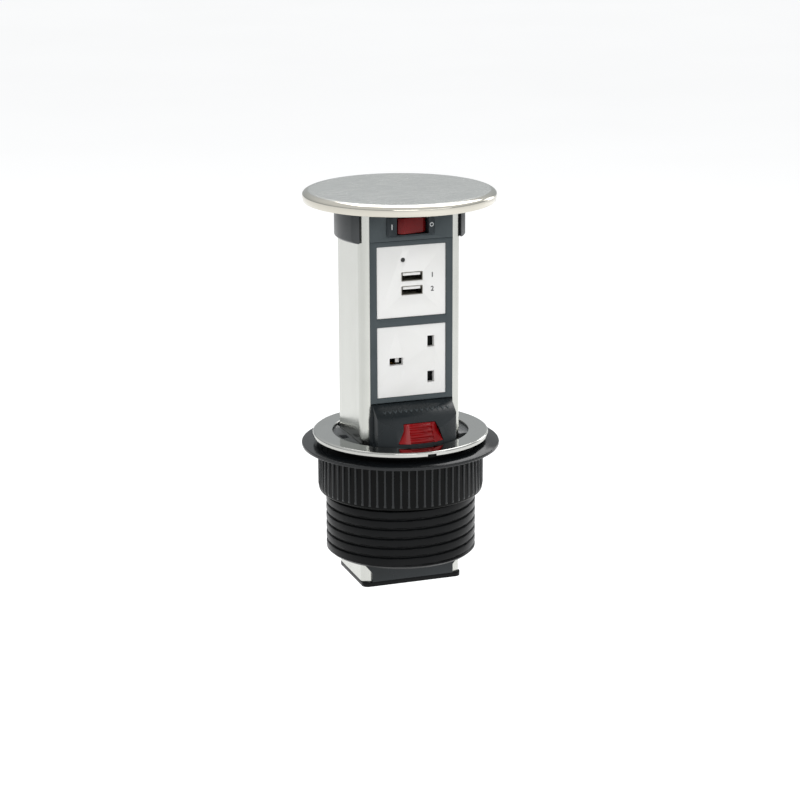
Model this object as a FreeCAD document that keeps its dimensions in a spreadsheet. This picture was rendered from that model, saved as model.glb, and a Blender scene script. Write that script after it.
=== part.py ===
import FreeCAD, Part
import math
import os
import Sketcher
from FreeCAD import Placement, Rotation, Vector

# Pull-up power tower for a worktop: a trim ring and a threaded sleeve fixed in the worktop, a washer and a ring
# nut that clamp them from below, and a square tower that slides up through the ring.
# The origin is on the hole's axis, in the plane of the worktop's top face. The tower's front faces -Y.

# Driving dimensions in millimetres: name, value, meaning
DIMENSIONS = (
    ("seat_gap", 0.1, "gap of a piece that snaps into another"),
    ("slip_gap", 0.3, "gap of a piece that moves past another"),
    ("window_side", 44.16, "module frame, side of each square window"),
    ("side_width", 10.19, "tower, from a window's edge to the tower's side"),
    ("tower_front_y", -20.9, "tower, place of the extrusion's front"),
    ("tower_back_y", 26.5, "tower, place of the extrusion's back"),
    ("profile_wall", 2.0, "extrusion, wall"),
    ("profile_corner_r", 5.0, "extrusion, outer corner radius"),
    ("profile_inner_r", 2.5, "extrusion, inner corner radius"),
    ("edge_strip", 5.73, "extrusion, width of the strip beside its front opening"),
    ("port_r", 3.1, "extrusion, outer radius of a screw port"),
    ("port_bore_r", 1.7, "extrusion, bore of a screw port"),
    ("port_sink", 0.6, "extrusion, how far a screw port runs into its wall"),
    ("ring_gap", 2.47, "trim ring, gap round the tower's back corners"),
    ("ring_overhang", 7.75, "trim ring, how far it reaches past the thread"),
    ("ring_top_z", 4.0, "trim ring, height of its top face over the worktop"),
    ("ring_sheet", 1.2, "trim ring, thickness of the steel"),
    ("ring_skirt", 2.6, "trim ring, height of its rolled rim"),
    ("ring_rim_round", 1.1, "trim ring, rounding of the outer edge"),
    ("ring_bore_round", 0.4, "trim ring, rounding of the inner edge"),
    ("pry_notch_width", 5.6, "trim ring, width of the notch in the rim"),
    ("pry_notch_rise", 1.2, "trim ring, height of the notch in the rim"),
    ("pry_notch_x", 1.1, "trim ring, place of the notch in the rim"),
    ("ring_lip", 1.4, "trim ring, how far its opening is inside the sleeve's bore"),
    ("sleeve_wall", 3.05, "sleeve, wall with its thread"),
    ("flange_gap", 0.35, "sleeve, gap from its flange to the ring's rim"),
    ("sleeve_low_z", -72.5, "sleeve, height of its lower end"),
    ("sleeve_chamfer", 1.6, "sleeve, lead-in at its lower end"),
    ("thread_pitch", 6.0, "thread, pitch"),
    ("thread_turns", 11, "thread, number of turns"),
    ("thread_deep", 1.3, "thread, depth of the groove between its turns"),
    ("thread_mouth", 2.0, "thread, width of the groove at the sleeve's surface"),
    ("thread_floor", 0.9, "thread, width of the groove's floor"),
    ("gasket_thick", 1.0, "gasket, thickness"),
    ("gasket_inset", 0.6, "gasket, how far it is inside the flange's edge"),
    ("gasket_gap", 0.7, "gasket, gap round the thread"),
    ("washer_width", 14.3, "clamp washer, width of the ring"),
    ("washer_top_z", -3.0, "clamp washer, height of its upper face"),
    ("washer_thick", 2.0, "clamp washer, thickness"),
    ("washer_edge", 0.5, "clamp washer, rounding of its edge"),
    ("thread_gap", 0.35, "gap from the sleeve to the washer and the nut"),
    ("turning_gap", 0.3, "gap between the washer and the nut"),
    ("nut_width", 4.4, "ring nut, width of the ring over the ribs"),
    ("nut_height", 27.4, "ring nut, height"),
    ("nut_rib_rise", 1.1, "ring nut, height of a rib over the wall"),
    ("nut_rib_width", 1.5, "ring nut, width of a rib at its top"),
    ("nut_rib_foot", 1.95, "ring nut, width of a rib at its foot"),
    ("nut_rib_root", 0.3, "ring nut, how far a rib runs into the wall"),
    ("nut_rib_count", 66, "ring nut, number of ribs"),
    ("nut_collar", 1.6, "ring nut, height of the plain collar at the top"),
    ("nut_taper_rise", 2.4, "ring nut, height of the rounded lower end"),
    ("nut_taper_in", 1.3, "ring nut, how far the lower end draws in"),
    ("nut_knee_rise", 0.9, "ring nut, height of the bend in the lower end"),
    ("nut_knee_in", 0.5, "ring nut, how far the bend in the lower end draws in"),
    ("panel_rise", 0.6, "front pieces, how far they stand out of the extrusion"),
    ("panel_flange", 2.0, "front pieces, width of the lip behind the extrusion's edges"),
    ("panel_flange_deep", 2.0, "front pieces, thickness of that lip"),
    ("frame_low_z", 27.34, "module frame, lower edge"),
    ("frame_rim", 3.1, "module frame, height of its upper and lower bars"),
    ("frame_bar", 5.18, "module frame, height of the bar between the windows"),
    ("window_lip", 2.9, "module frame, thickness round the windows"),
    ("plate_sink", 0.6, "white plates, how far they lie behind the module frame's face"),
    ("plate_lip", 0.8, "white plates, width of the lip behind the window"),
    ("switch_panel_high", 22.96, "switch panel, height"),
    ("pin_pitch", 22.2, "socket, line to neutral, and earth to that line"),
    ("line_x", 12.5, "socket, place of the line and neutral apertures"),
    ("line_slot_wide", 4.3, "socket, line aperture across"),
    ("line_slot_tall", 7.0, "socket, line aperture height"),
    ("earth_slot_wide", 8.6, "socket, earth aperture across"),
    ("earth_slot_tall", 4.6, "socket, earth aperture height"),
    ("shutter_thick", 2.0, "shutter, thickness"),
    ("shutter_half_width", 2.75, "shutter, half width of the bar"),
    ("shutter_cover", 0.8, "shutter, how far the bar covers past an aperture"),
    ("shutter_arm_half", 1.6, "shutter, half height of the arm"),
    ("shutter_lug_thick", 1.4, "shutter, thickness of the lug that the spring pushes"),
    ("shutter_lug_half", 1.6, "shutter, half height of that lug's end"),
    ("shutter_lug_in", 3.0, "shutter, from the earth aperture's middle to the lug"),
    ("tip_wide", 1.6, "shutter, width of the tip in the earth slot"),
    ("tip_in", 0.8, "shutter, from the earth aperture's middle to the tip's left side"),
    ("tip_over", 0.6, "shutter, how far the tip runs past the earth aperture"),
    ("chamber_depth", 15.5, "socket base, depth of a contact chamber"),
    ("chamber_side", 0.35, "socket base, gap beside a contact"),
    ("chamber_end", 1.4, "socket base, gap above and below a line contact"),
    ("earth_chamber_end", 0.9, "socket base, gap past the ends of the earth contact"),
    ("socket_base_depth", 22.0, "socket base, depth behind the plate"),
    ("socket_wall", 1.6, "socket base, wall round the shutter"),
    ("tray_end", 1.5, "socket base, room above and below the shutter"),
    ("spring_post_wide", 1.5, "socket base, thickness of the spring's post"),
    ("spring_post_half", 2.0, "socket base, half height of the spring's post"),
    ("spring_post_gap", 2.0, "socket base, gap from the spring's post to the shutter's bar"),
    ("spring_post_cap", 0.2, "socket base, how far the post ends under the plate's plane"),
    ("spring_drop", 2.3, "shutter spring, how far its axis is below the arm"),
    ("contact_sheet", 0.7, "contacts, thickness of the brass"),
    ("contact_grip", 4.2, "contacts, gap between the two leaves"),
    ("contact_sink", 0.8, "contacts, how far they start below the chamber's mouth"),
    ("line_contact_half", 3.2, "line contacts, half height"),
    ("earth_contact_half", 4.3, "earth contact, half width"),
    ("post_shift", 4.0, "terminal posts, how far the line pair stand apart from their chambers"),
    ("post_side", 7.0, "terminal posts, side"),
    ("post_deep", 8.0, "terminal posts, depth"),
    ("post_screw_r", 2.4, "terminal posts, radius of a screw's head"),
    ("post_screw_high", 1.4, "terminal posts, height of a screw's head"),
    ("usb_slot_wide", 13.6, "USB slot, width"),
    ("usb_slot_tall", 5.5, "USB slot, height"),
    ("usb_slot_x", 0.5, "USB slots, place of their middle"),
    ("usb_upper_rise", 2.89, "USB, from the charger's middle up to the upper slot"),
    ("usb_lower_drop", 5.66, "USB, from the charger's middle down to the lower slot"),
    ("usb_sheet", 0.4, "USB shells, thickness"),
    ("usb_shell_sink", 0.2, "USB shells, how far they lie behind the plate's face"),
    ("usb_depth", 15.0, "USB shells, depth"),
    ("tongue_sink", 1.0, "USB tongues, how far they lie behind the plate's face"),
    ("tongue_wide", 11.2, "USB tongues, width"),
    ("tongue_thick", 1.8, "USB tongues, thickness"),
    ("board_thick", 1.6, "charger board, thickness"),
    ("board_side", 40.0, "charger board, side"),
    ("core_wide", 18.0, "transformer, width of its core"),
    ("core_tall", 14.0, "transformer, height of its core"),
    ("core_deep", 12.0, "transformer, depth of its core"),
    ("core_leg", 3.0, "transformer, width of the core beside the winding"),
    ("core_cover", 2.0, "transformer, thickness of the core over the winding"),
    ("winding_over", 2.0, "transformer, how far the winding stands out of the core"),
    ("core_x", -6.0, "transformer, place of its middle"),
    ("core_rise", 9.0, "transformer, height over the charger's middle"),
    ("can_high", 11.0, "capacitors, height"),
    ("can_r", 4.0, "capacitors, radius of the large pair"),
    ("small_can_r", 3.0, "capacitors, radius of the small one"),
    ("can_pitch", 11.0, "capacitors, spacing of the large pair"),
    ("can_drop", 12.0, "capacitors, drop of the large pair below the charger's middle"),
    ("small_can_x", 12.0, "capacitors, place of the small one"),
    ("small_can_rise", 8.0, "capacitors, height of the small one over the charger's middle"),
    ("lamp_x", -5.3, "charge lamp, place"),
    ("lamp_rise", 13.34, "charge lamp, height over the charger's middle"),
    ("lamp_r", 1.3, "charge lamp, radius"),
    ("breaker_x", -0.7, "breaker, place of its middle"),
    ("breaker_rise", 9.01, "breaker, height of its middle over the module frame"),
    ("bezel_wide", 30.4, "breaker, width of its bezel"),
    ("bezel_tall", 12.9, "breaker, height of its bezel"),
    ("bezel_rise", 1.5, "breaker, how far the bezel stands proud"),
    ("bezel_chamfer", 1.1, "breaker, chamfer of the bezel"),
    ("bezel_round", 1.4, "breaker, corner radius of the bezel"),
    ("breaker_wide", 27.5, "breaker, width of its body"),
    ("breaker_tall", 11.0, "breaker, height of its body"),
    ("breaker_depth", 22.0, "breaker, depth of its body"),
    ("blade_thick", 0.8, "breaker, thickness of a terminal"),
    ("blade_wide", 6.3, "breaker, width of a terminal"),
    ("blade_long", 7.0, "breaker, length of a terminal"),
    ("blade_pitch", 9.0, "breaker, spacing of the terminals"),
    ("rocker_x", 0.3, "rocker, place of its middle"),
    ("rocker_wide", 19.2, "rocker, width"),
    ("rocker_tall", 9.5, "rocker, height"),
    ("rocker_face_half", 6.7, "rocker, half width of its flat face"),
    ("rocker_well_side", 0.55, "rocker, gap beside it"),
    ("rocker_well_deep", 6.5, "rocker, depth of its well behind the axis"),
    ("rocker_tilt", 10.0, "rocker, tilt each way in degrees"),
    ("rocker_pin_r", 1.2, "rocker, radius of its trunnions"),
    ("rocker_pin_deep", 2.9, "rocker, how far its axis is behind the front pieces' face"),
    ("rocker_pin_long", 0.5, "rocker, how far a trunnion stands out"),
    ("rocker_drop", 3.6, "rocker, how far its face lies in front of the axis"),
    ("rocker_bevel", 1.8, "rocker, how far a bevelled end falls back"),
    ("rocker_cheek", 1.6, "rocker, thickness of its ends behind the bevels"),
    ("rocker_keel_half", 3.2, "rocker, half width of its keel"),
    ("rocker_keel", 2.4, "rocker, how far its keel reaches behind the axis"),
    ("housing_wall", 2.4, "release housing, wall"),
    ("housing_rise", 1.1, "release housing, how far its lower part and wings stand out of the front pieces"),
    ("wing_gap", 0.05, "release housing, gap from its wings to the extrusion"),
    ("wing_inset", 4.57, "release housing, from the wings' edge to the tower's side"),
    ("wing_top_z", 17.5, "release housing, height where the wings are widest"),
    ("wing_low_z", -75.3, "release housing, lower end of the wings"),
    ("wing_low_inset", 1.27, "release housing, from the lower wings' edge to the tower's side"),
    ("wing_taper", 5.5, "release housing, height of the wings' tapers"),
    ("bulge_gap", 1.8, "release housing, gap from its bulge to the trim ring"),
    ("bulge_inset", 1.1, "release housing, from its bulge's side to the extrusion's opening"),
    ("brow_gap", 0.5, "release housing, gap under the module frame"),
    ("bulge_edge_z", 12.5, "release housing, height where the slope meets the bulge"),
    ("bulge_side_round", 2.5, "release housing, rounding beside the bulge"),
    ("slope_wall", 2.9, "release housing, thickness of the slope front to back"),
    ("guide_top_z", 2.4, "guides under the ring, height of the top"),
    ("guide_low_z", -17.0, "guides under the ring, height of the lower end"),
    ("side_guide_front_y", -18.0, "side guides, place of the front end"),
    ("rear_guide_inset", 1.27, "rear guide, from its end to the tower's side"),
    ("guide_hole_in", 4.4, "left side guide, from the tower's side to the middle of the hole in its top"),
    ("guide_hole_wide", 4.4, "left side guide, width of that hole"),
    ("guide_hole_long", 7.0, "left side guide, length of that hole"),
    ("guide_hole_deep", 6.0, "left side guide, depth of that hole"),
    ("button_low_half", 14.2, "release button, half width at its lower edge"),
    ("button_top_half", 9.9, "release button, half width at its upper edge"),
    ("button_low_z", 5.7, "release button, lower edge"),
    ("button_top_z", 16.7, "release button, upper edge"),
    ("button_rise", 1.4, "release button, how far it stands proud of the bulge"),
    ("button_face_low", 7.6, "release button, half width of its ribbed face at the lower edge"),
    ("button_slant", 0.5, "release button, how far its side facets fall back per millimetre across"),
    ("button_flange", 1.6, "release button, thickness of its retaining flange"),
    ("button_flange_over", 2.5, "release button, how far the flange reaches past the window"),
    ("button_rib_count", 4, "release button, number of its finger ribs"),
    ("button_rib_deep", 0.6, "release button, depth between its finger ribs"),
    ("button_rib_share", 0.55, "release button, share of a rib in its spacing"),
    ("button_stem_r", 2.0, "release button, radius of its stem"),
    ("button_stem_long", 6.0, "release button, length of its stem"),
    ("button_stem_z", 10.0, "release button, height of its stem"),
    ("block_gap", 2.4, "side blocks under the lid, gap to the trim ring when the tower is down"),
    ("block_high", 23.5, "side blocks under the lid, height"),
    ("block_front", 0.8, "side blocks under the lid, how far they start behind the extrusion's front"),
    ("block_slant", 0.92, "side blocks under the lid, how far their front falls back per millimetre across"),
    ("block_round", 1.2, "side blocks under the lid, rounding of the lower edge"),
    ("lid_overhang", 4.58, "lid, how far it reaches past the trim ring"),
    ("lid_shoulder", 5.98, "lid, width of its rounded shoulder"),
    ("lid_crown", 2.9, "lid, height of its rounded shoulder"),
    ("lid_rise", 4.8, "lid, height over the extrusion's end"),
    ("lid_skirt", 2.0, "lid, how far its edge hangs below the extrusion's end"),
    ("lid_draw_in", 0.5, "lid, how far its lower edge draws in"),
    ("lid_sheet", 1.0, "lid, thickness of the steel"),
    ("under_plate_thick", 2.0, "plate under the lid, thickness"),
    ("under_ring_wide", 12.0, "plate under the lid, width of its raised ring"),
    ("under_ring_in", 1.0, "plate under the lid, how far its raised ring is inside the lid's flat"),
    ("lid_screw_head_r", 3.0, "lid and base screws, radius of the head"),
    ("lid_screw_long", 12.0, "lid and base screws, length under the head"),
    ("screw_head", 1.6, "screws, height of the head"),
    ("screw_r", 1.6, "screws, radius"),
    ("top_cap_deep", 6.0, "cap in the extrusion's upper end, depth"),
    ("top_cap_roof", 2.0, "cap in the extrusion's upper end, thickness of its roof"),
    ("top_cap_side", 12.0, "cap in the extrusion's upper end, width of its solid sides"),
    ("top_cap_front", 3.0, "cap in the extrusion's upper end, thickness of its front"),
    ("top_cap_back", 9.9, "cap in the extrusion's upper end, thickness of its back"),
    ("base_low_z", -89.5, "base cap, underside"),
    ("base_lip", 3.0, "base cap, height of its lip"),
    ("base_spigot", 6.0, "base cap, height of the part inside the extrusion"),
    ("base_wall", 2.0, "base cap, wall of the part inside the extrusion"),
    ("base_corner_r", 4.0, "base cap, corner radius"),
    ("base_port_gap", 1.0, "base cap, gap from the part inside the extrusion to the screw ports"),
    ("base_front_gap", 3.0, "base cap, gap in front of the part inside the extrusion"),
    ("inlet_x", 0.0, "cable inlet, place"),
    ("inlet_y", 10.0, "cable inlet, place"),
    ("inlet_r", 4.5, "cable inlet, radius"),
    ("inlet_boss_r", 7.5, "cable inlet, radius of its boss"),
    ("inlet_boss_high", 5.0, "cable inlet, height of its boss"),
    ("block_wide", 34.0, "terminal block, width"),
    ("block_deep", 11.0, "terminal block, depth"),
    ("terminal_high", 13.0, "terminal block, height"),
    ("block_z", -64.0, "terminal block, underside"),
    ("pole_pitch", 10.0, "terminal block, spacing of its poles"),
    ("pole_r", 2.1, "terminal block, bore of a pole"),
    ("pole_screw_r", 1.7, "terminal screws, radius"),
    ("wire_r", 1.4, "wires, radius over the insulation"),
    ("wire_bend_r", 6.0, "wires, bend radius"),
    ("wire_rise", 14.0, "wires, height of the first bend over the terminal block"),
    ("wire_step", 6.0, "wires, how much higher each wire bends than the one beside it"),
    ("clamp_wide", 24.0, "cable clamp, width"),
    ("clamp_deep", 12.0, "cable clamp, depth"),
    ("clamp_high", 4.0, "cable clamp, height"),
    ("clamp_gap", 0.2, "cable clamp, gap round the cable inlet"),
    ("clamp_screw_head_r", 2.8, "clamp screws, radius of the head"),
    ("clamp_screw_short", 1.0, "clamp screws, how far they end above the posts' feet"),
    ("spring_wire_r", 0.3, "springs, radius of the wire"),
    ("button_spring_r", 2.9, "button spring, mean radius"),
    ("button_spring_turns", 5, "button spring, number of turns"),
    ("shutter_spring_r", 0.9, "shutter spring, mean radius"),
    ("shutter_spring_turns", 7, "shutter spring, number of turns"),
)

# How far a cutting tool runs past the faces it cuts, and how many straight parts the lid's shoulder has
PAST = 1.0
SHOULDER_STEPS = 6

document = FreeCAD.newDocument("power_tower")
sheet = document.addObject("Spreadsheet::Sheet", "sizes")
for row, (alias, value, meaning) in enumerate(DIMENSIONS, start=1):
    sheet.set("A%d" % row, meaning)
    sheet.set("B%d" % row, str(value))
    sheet.setAlias("B%d" % row, alias)
document.recompute()


class Measure:
    """A length as a formula on the sheet, so that whatever is built from it follows the sheet."""

    def __init__(self, formula):
        self.formula = formula

    def join(self, sign, other, swapped=False):
        first, second = (formula_of(other), self.formula) if swapped else (self.formula, formula_of(other))
        return Measure("(%s %s %s)" % (first, sign, second))

    def __add__(self, other):
        return self.join("+", other)

    def __radd__(self, other):
        return self.join("+", other, swapped=True)

    def __sub__(self, other):
        return self.join("-", other)

    def __rsub__(self, other):
        return self.join("-", other, swapped=True)

    def __mul__(self, other):
        return self.join("*", other)

    def __rmul__(self, other):
        return self.join("*", other, swapped=True)

    def __truediv__(self, other):
        return self.join("/", other)

    def __neg__(self):
        return Measure("(0 - %s)" % self.formula)

    def root(self):
        return Measure("sqrt(%s)" % self.formula)

    @property
    def now(self):
        return float(sheet.evalExpression(self.formula))


class Sizes:
    """Gives each alias of the sheet as a Measure, and the lengths that follow from others."""

    def __getattr__(self, alias):
        return Measure("sizes." + alias)

    # Tower
    @property
    def tower_half_width(self):
        return self.window_side / 2 + self.side_width

    @property
    def opening_half(self):
        return self.tower_half_width - self.edge_strip

    @property
    def panel_front_y(self):
        return self.tower_front_y - self.panel_rise

    @property
    def panel_back_y(self):
        return self.tower_front_y + self.profile_wall + self.seat_gap + self.panel_flange_deep

    @property
    def plate_front_y(self):
        return self.panel_front_y + self.plate_sink

    @property
    def socket_mid_z(self):
        return self.frame_low_z + self.frame_rim + self.window_side / 2

    @property
    def usb_mid_z(self):
        return self.socket_mid_z + self.window_side + self.frame_bar

    @property
    def frame_top_z(self):
        return self.usb_mid_z + self.window_side / 2 + self.frame_rim

    @property
    def tower_top_z(self):
        return self.frame_top_z + self.switch_panel_high

    @property
    def usb_upper_z(self):
        return self.usb_mid_z + self.usb_upper_rise

    @property
    def usb_lower_z(self):
        return self.usb_mid_z - self.usb_lower_drop

    @property
    def lamp_z(self):
        return self.usb_mid_z + self.lamp_rise

    @property
    def breaker_z(self):
        return self.frame_top_z + self.breaker_rise

    @property
    def rocker_pin_y(self):
        return self.panel_front_y + self.rocker_pin_deep

    # Round pieces, from the tower's corners outward
    @property
    def ring_bore_r(self):
        across = self.tower_half_width - self.profile_corner_r
        back = self.tower_back_y - self.profile_corner_r
        return (across * across + back * back).root() + self.profile_corner_r + self.ring_gap

    @property
    def sleeve_bore_r(self):
        return self.ring_bore_r + self.ring_lip

    @property
    def sleeve_r(self):
        return self.sleeve_bore_r + self.sleeve_wall

    @property
    def ring_outer_r(self):
        return self.sleeve_r + self.ring_overhang

    @property
    def flange_r(self):
        return self.ring_outer_r - self.ring_sheet - self.flange_gap

    @property
    def gasket_outer_r(self):
        return self.flange_r - self.gasket_inset

    @property
    def gasket_inner_r(self):
        return self.sleeve_r + self.gasket_gap

    @property
    def thread_bore_r(self):
        return self.sleeve_r + self.thread_gap

    @property
    def washer_r(self):
        return self.thread_bore_r + self.washer_width

    @property
    def nut_r(self):
        return self.thread_bore_r + self.nut_width

    @property
    def guide_r(self):
        return self.sleeve_bore_r - self.slip_gap

    @property
    def bulge_r(self):
        return self.ring_bore_r - self.bulge_gap

    @property
    def block_r(self):
        return self.ring_bore_r - self.block_gap

    @property
    def lid_r(self):
        return self.ring_outer_r + self.lid_overhang

    @property
    def lid_flat_r(self):
        return self.lid_r - self.lid_shoulder

    # Heights under the lid
    @property
    def lid_top_z(self):
        return self.tower_top_z + self.lid_rise

    @property
    def lid_widest_z(self):
        return self.lid_top_z - self.lid_crown

    @property
    def lid_low_z(self):
        return self.tower_top_z - self.lid_skirt

    @property
    def block_low_z(self):
        return self.tower_top_z - self.block_high

    @property
    def block_front_y(self):
        return self.tower_front_y + self.block_front

    # Release housing
    @property
    def housing_face_y(self):
        return self.panel_front_y - self.housing_rise

    @property
    def bulge_half(self):
        return self.opening_half - self.bulge_inset

    @property
    def housing_top_z(self):
        return self.frame_low_z - self.brow_gap

    @property
    def wing_half(self):
        return self.tower_half_width - self.wing_inset

    @property
    def wing_low_half(self):
        return self.tower_half_width - self.wing_low_inset

    @property
    def rear_guide_half(self):
        return self.tower_half_width - self.rear_guide_inset


S = Sizes()


def formula_of(value):
    return value.formula if isinstance(value, Measure) else repr(value)


def number(value):
    return value.now if isinstance(value, Measure) else float(value)


def bind(target, name, value):
    target.setExpression(name, formula_of(value))


# Straight solids and booleans

def box(name, x, y, z):
    """A block between two measures along each axis."""
    solid = document.addObject("Part::Box", name)
    for side, axis, (low, high) in zip(("Length", "Width", "Height"), "xyz", (x, y, z)):
        bind(solid, side, high - low)
        bind(solid, "Placement.Base." + axis, low)
    return solid


ROD_TURNS = {
    "x": (Rotation(Vector(0, 1, 0), 90), "yz"),
    "y": (Rotation(Vector(1, 0, 0), -90), "xz"),
    "z": (Rotation(), "xy"),
}


def rod(name, axis, at, span, radius):
    """A cylinder along an axis, at two measures across it and between two measures along it."""
    solid = document.addObject("Part::Cylinder", name)
    rotation, across = ROD_TURNS[axis]
    solid.Placement = Placement(Vector(), rotation)
    for letter, value in zip(across, at):
        bind(solid, "Placement.Base." + letter, value)
    bind(solid, "Placement.Base." + axis, span[0])
    bind(solid, "Height", span[1] - span[0])
    bind(solid, "Radius", radius)
    return solid


def cone(name, at, z, low_r, top_r):
    """An upright cone or truncated cone."""
    solid = document.addObject("Part::Cone", name)
    for letter, value in zip("xyz", (at[0], at[1], z[0])):
        bind(solid, "Placement.Base." + letter, value)
    bind(solid, "Height", z[1] - z[0])
    bind(solid, "Radius1", low_r)
    bind(solid, "Radius2", top_r)
    return solid


def fuse(name, *solids):
    joined = document.addObject("Part::MultiFuse", name)
    joined.Shapes = list(solids)
    joined.Refine = True
    return joined


def group(name, *solids):
    """Separate solids in one node, such as a set of screws."""
    together = document.addObject("Part::Compound", name)
    together.Links = list(solids)
    return together


def cut(name, base, *tools):
    result = document.addObject("Part::Cut", name)
    result.Base = base
    result.Tool = tools[0] if len(tools) == 1 else fuse(name + "_tools", *tools)
    result.Refine = True
    return result


def common(name, first, second):
    result = document.addObject("Part::Common", name)
    result.Base = first
    result.Tool = second
    result.Refine = True
    return result


# Sketched bodies

def new_body(name):
    return document.addObject("PartDesign::Body", name)


def new_sketch(body, name, plane, offset):
    sketch = body.newObject("Sketcher::SketchObject", name)
    support = next(item for item in body.Origin.OriginFeatures if item.Role == plane + "_Plane")
    sketch.AttachmentSupport = [(support, "")]
    sketch.MapMode = "FlatFace"
    bind(sketch, "AttachmentOffset.Base.z", offset)
    return sketch


def hold_point(sketch, edge, end, place):
    """Ties one end of an edge to two measures from the sketch's origin."""
    for kind, value in zip(("DistanceX", "DistanceY"), place):
        index = sketch.addConstraint(Sketcher.Constraint(kind, -1, 1, edge, end, number(value)))
        bind(sketch, "Constraints[%d]" % index, value)


def outline(body, name, plane, corners, offset=0):
    """A closed outline of straight lines through corners given as pairs of measures."""
    sketch = new_sketch(body, name, plane, offset)
    spots = [Vector(number(across), number(up), 0) for across, up in corners]
    count = len(spots)
    for index, start in enumerate(spots):
        sketch.addGeometry(Part.LineSegment(start, spots[(index + 1) % count]))
    for index in range(count):
        sketch.addConstraint(Sketcher.Constraint("Coincident", index, 2, (index + 1) % count, 1))
    for index, corner in enumerate(corners):
        hold_point(sketch, index, 1, corner)
    return sketch


def circles(body, name, plane, centres, radius, offset=0):
    """Circles of one radius at pairs of measures."""
    sketch = new_sketch(body, name, plane, offset)
    for index, centre in enumerate(centres):
        middle = Vector(number(centre[0]), number(centre[1]), 0)
        sketch.addGeometry(Part.Circle(middle, Vector(0, 0, 1), number(radius)))
        hold_point(sketch, index, 3, centre)
        sized = sketch.addConstraint(Sketcher.Constraint("Radius", index, number(radius)))
        bind(sketch, "Constraints[%d]" % sized, radius)
    return sketch


def sector(body, name, radius, half, back_y, offset):
    """A D outline on XY: an arc about the axis in front and a straight back."""
    sketch = new_sketch(body, name, "XY", offset)
    front_y = -number((radius * radius - half * half).root())
    left, right = Vector(-number(half), front_y, 0), Vector(number(half), front_y, 0)
    back_left = Vector(left.x, number(back_y), 0)
    back_right = Vector(right.x, number(back_y), 0)
    sketch.addGeometry(Part.Arc(left, Vector(0, -number(radius), 0), right))
    sketch.addGeometry(Part.LineSegment(right, back_right))
    sketch.addGeometry(Part.LineSegment(back_right, back_left))
    sketch.addGeometry(Part.LineSegment(back_left, left))
    sketch.addConstraint(Sketcher.Constraint("Coincident", 0, 3, -1, 1))
    sketch.addConstraint(Sketcher.Constraint("Coincident", 0, 2, 1, 1))
    sketch.addConstraint(Sketcher.Constraint("Coincident", 1, 2, 2, 1))
    sketch.addConstraint(Sketcher.Constraint("Coincident", 2, 2, 3, 1))
    sketch.addConstraint(Sketcher.Constraint("Coincident", 3, 2, 0, 1))
    sized = sketch.addConstraint(Sketcher.Constraint("Radius", 0, number(radius)))
    bind(sketch, "Constraints[%d]" % sized, radius)
    hold_point(sketch, 2, 1, (half, back_y))
    hold_point(sketch, 3, 1, (-half, back_y))
    sketch.addConstraint(Sketcher.Constraint("Vertical", 1))
    sketch.addConstraint(Sketcher.Constraint("Vertical", 3))
    return sketch


def pad(body, sketch, length, name):
    feature = body.newObject("PartDesign::Pad", name)
    feature.Profile = sketch
    bind(feature, "Length", length)
    return feature


def pocket(body, sketch, length, name):
    feature = body.newObject("PartDesign::Pocket", name)
    feature.Profile = sketch
    bind(feature, "Length", length)
    return feature


def turn(body, sketch, name, kind="PartDesign::Revolution"):
    feature = body.newObject(kind, name)
    feature.Profile = sketch
    feature.ReferenceAxis = (sketch, ["V_Axis"])
    feature.Angle = 360
    return feature


def dress(body, name, kind, size, picks):
    """A fillet or chamfer on the edges of the body's tip that a test picks."""
    document.recompute()
    tip = body.Tip
    names = ["Edge%d" % (index + 1) for index, edge in enumerate(tip.Shape.Edges) if picks(edge)]
    if not names:
        raise RuntimeError("no edge found for " + name)
    feature = body.newObject("PartDesign::" + kind, name)
    feature.Base = (tip, names)
    bind(feature, "Radius" if kind == "Fillet" else "Size", size)
    return feature


def near(value, measure, slack=0.02):
    return abs(value - number(measure)) < slack


def is_upright(edge):
    box_of = edge.BoundBox
    return box_of.XLength < 0.01 and box_of.YLength < 0.01


def ring_at(radius, height):
    """Picks the full circles of one radius at one height."""
    def picks(edge):
        bounds = edge.BoundBox
        return near(bounds.ZMin, height) and near(bounds.ZMax, height) and near(bounds.XMax, radius, 0.05)
    return picks


# Fixed in the worktop

def make_trim_ring():
    body = new_body("trim_ring")
    under_z = S.ring_top_z - S.ring_sheet
    skirt_z = S.ring_top_z - S.ring_skirt
    inner_r = S.ring_outer_r - S.ring_sheet
    corners = (
        (S.ring_bore_r, under_z),
        (S.ring_bore_r, S.ring_top_z),
        (S.ring_outer_r, S.ring_top_z),
        (S.ring_outer_r, skirt_z),
        (inner_r, skirt_z),
        (inner_r, under_z),
    )
    turn(body, outline(body, "ring_section", "XZ", corners), "ring_turned")
    dress(body, "ring_rim", "Fillet", S.ring_rim_round, ring_at(S.ring_outer_r, S.ring_top_z))
    dress(body, "ring_lip", "Fillet", S.ring_bore_round, ring_at(S.ring_bore_r, S.ring_top_z))
    left, right = S.pry_notch_x - S.pry_notch_width / 2, S.pry_notch_x + S.pry_notch_width / 2
    low_z, notch_top = skirt_z - PAST, skirt_z + S.pry_notch_rise
    notch = outline(body, "pry_notch_shape", "XZ",
                    ((left, low_z), (right, low_z), (right, notch_top), (left, notch_top)),
                    offset=S.ring_outer_r + PAST)
    pocket(body, notch, S.ring_sheet + 2 * PAST, "pry_notch")
    return body


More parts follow.
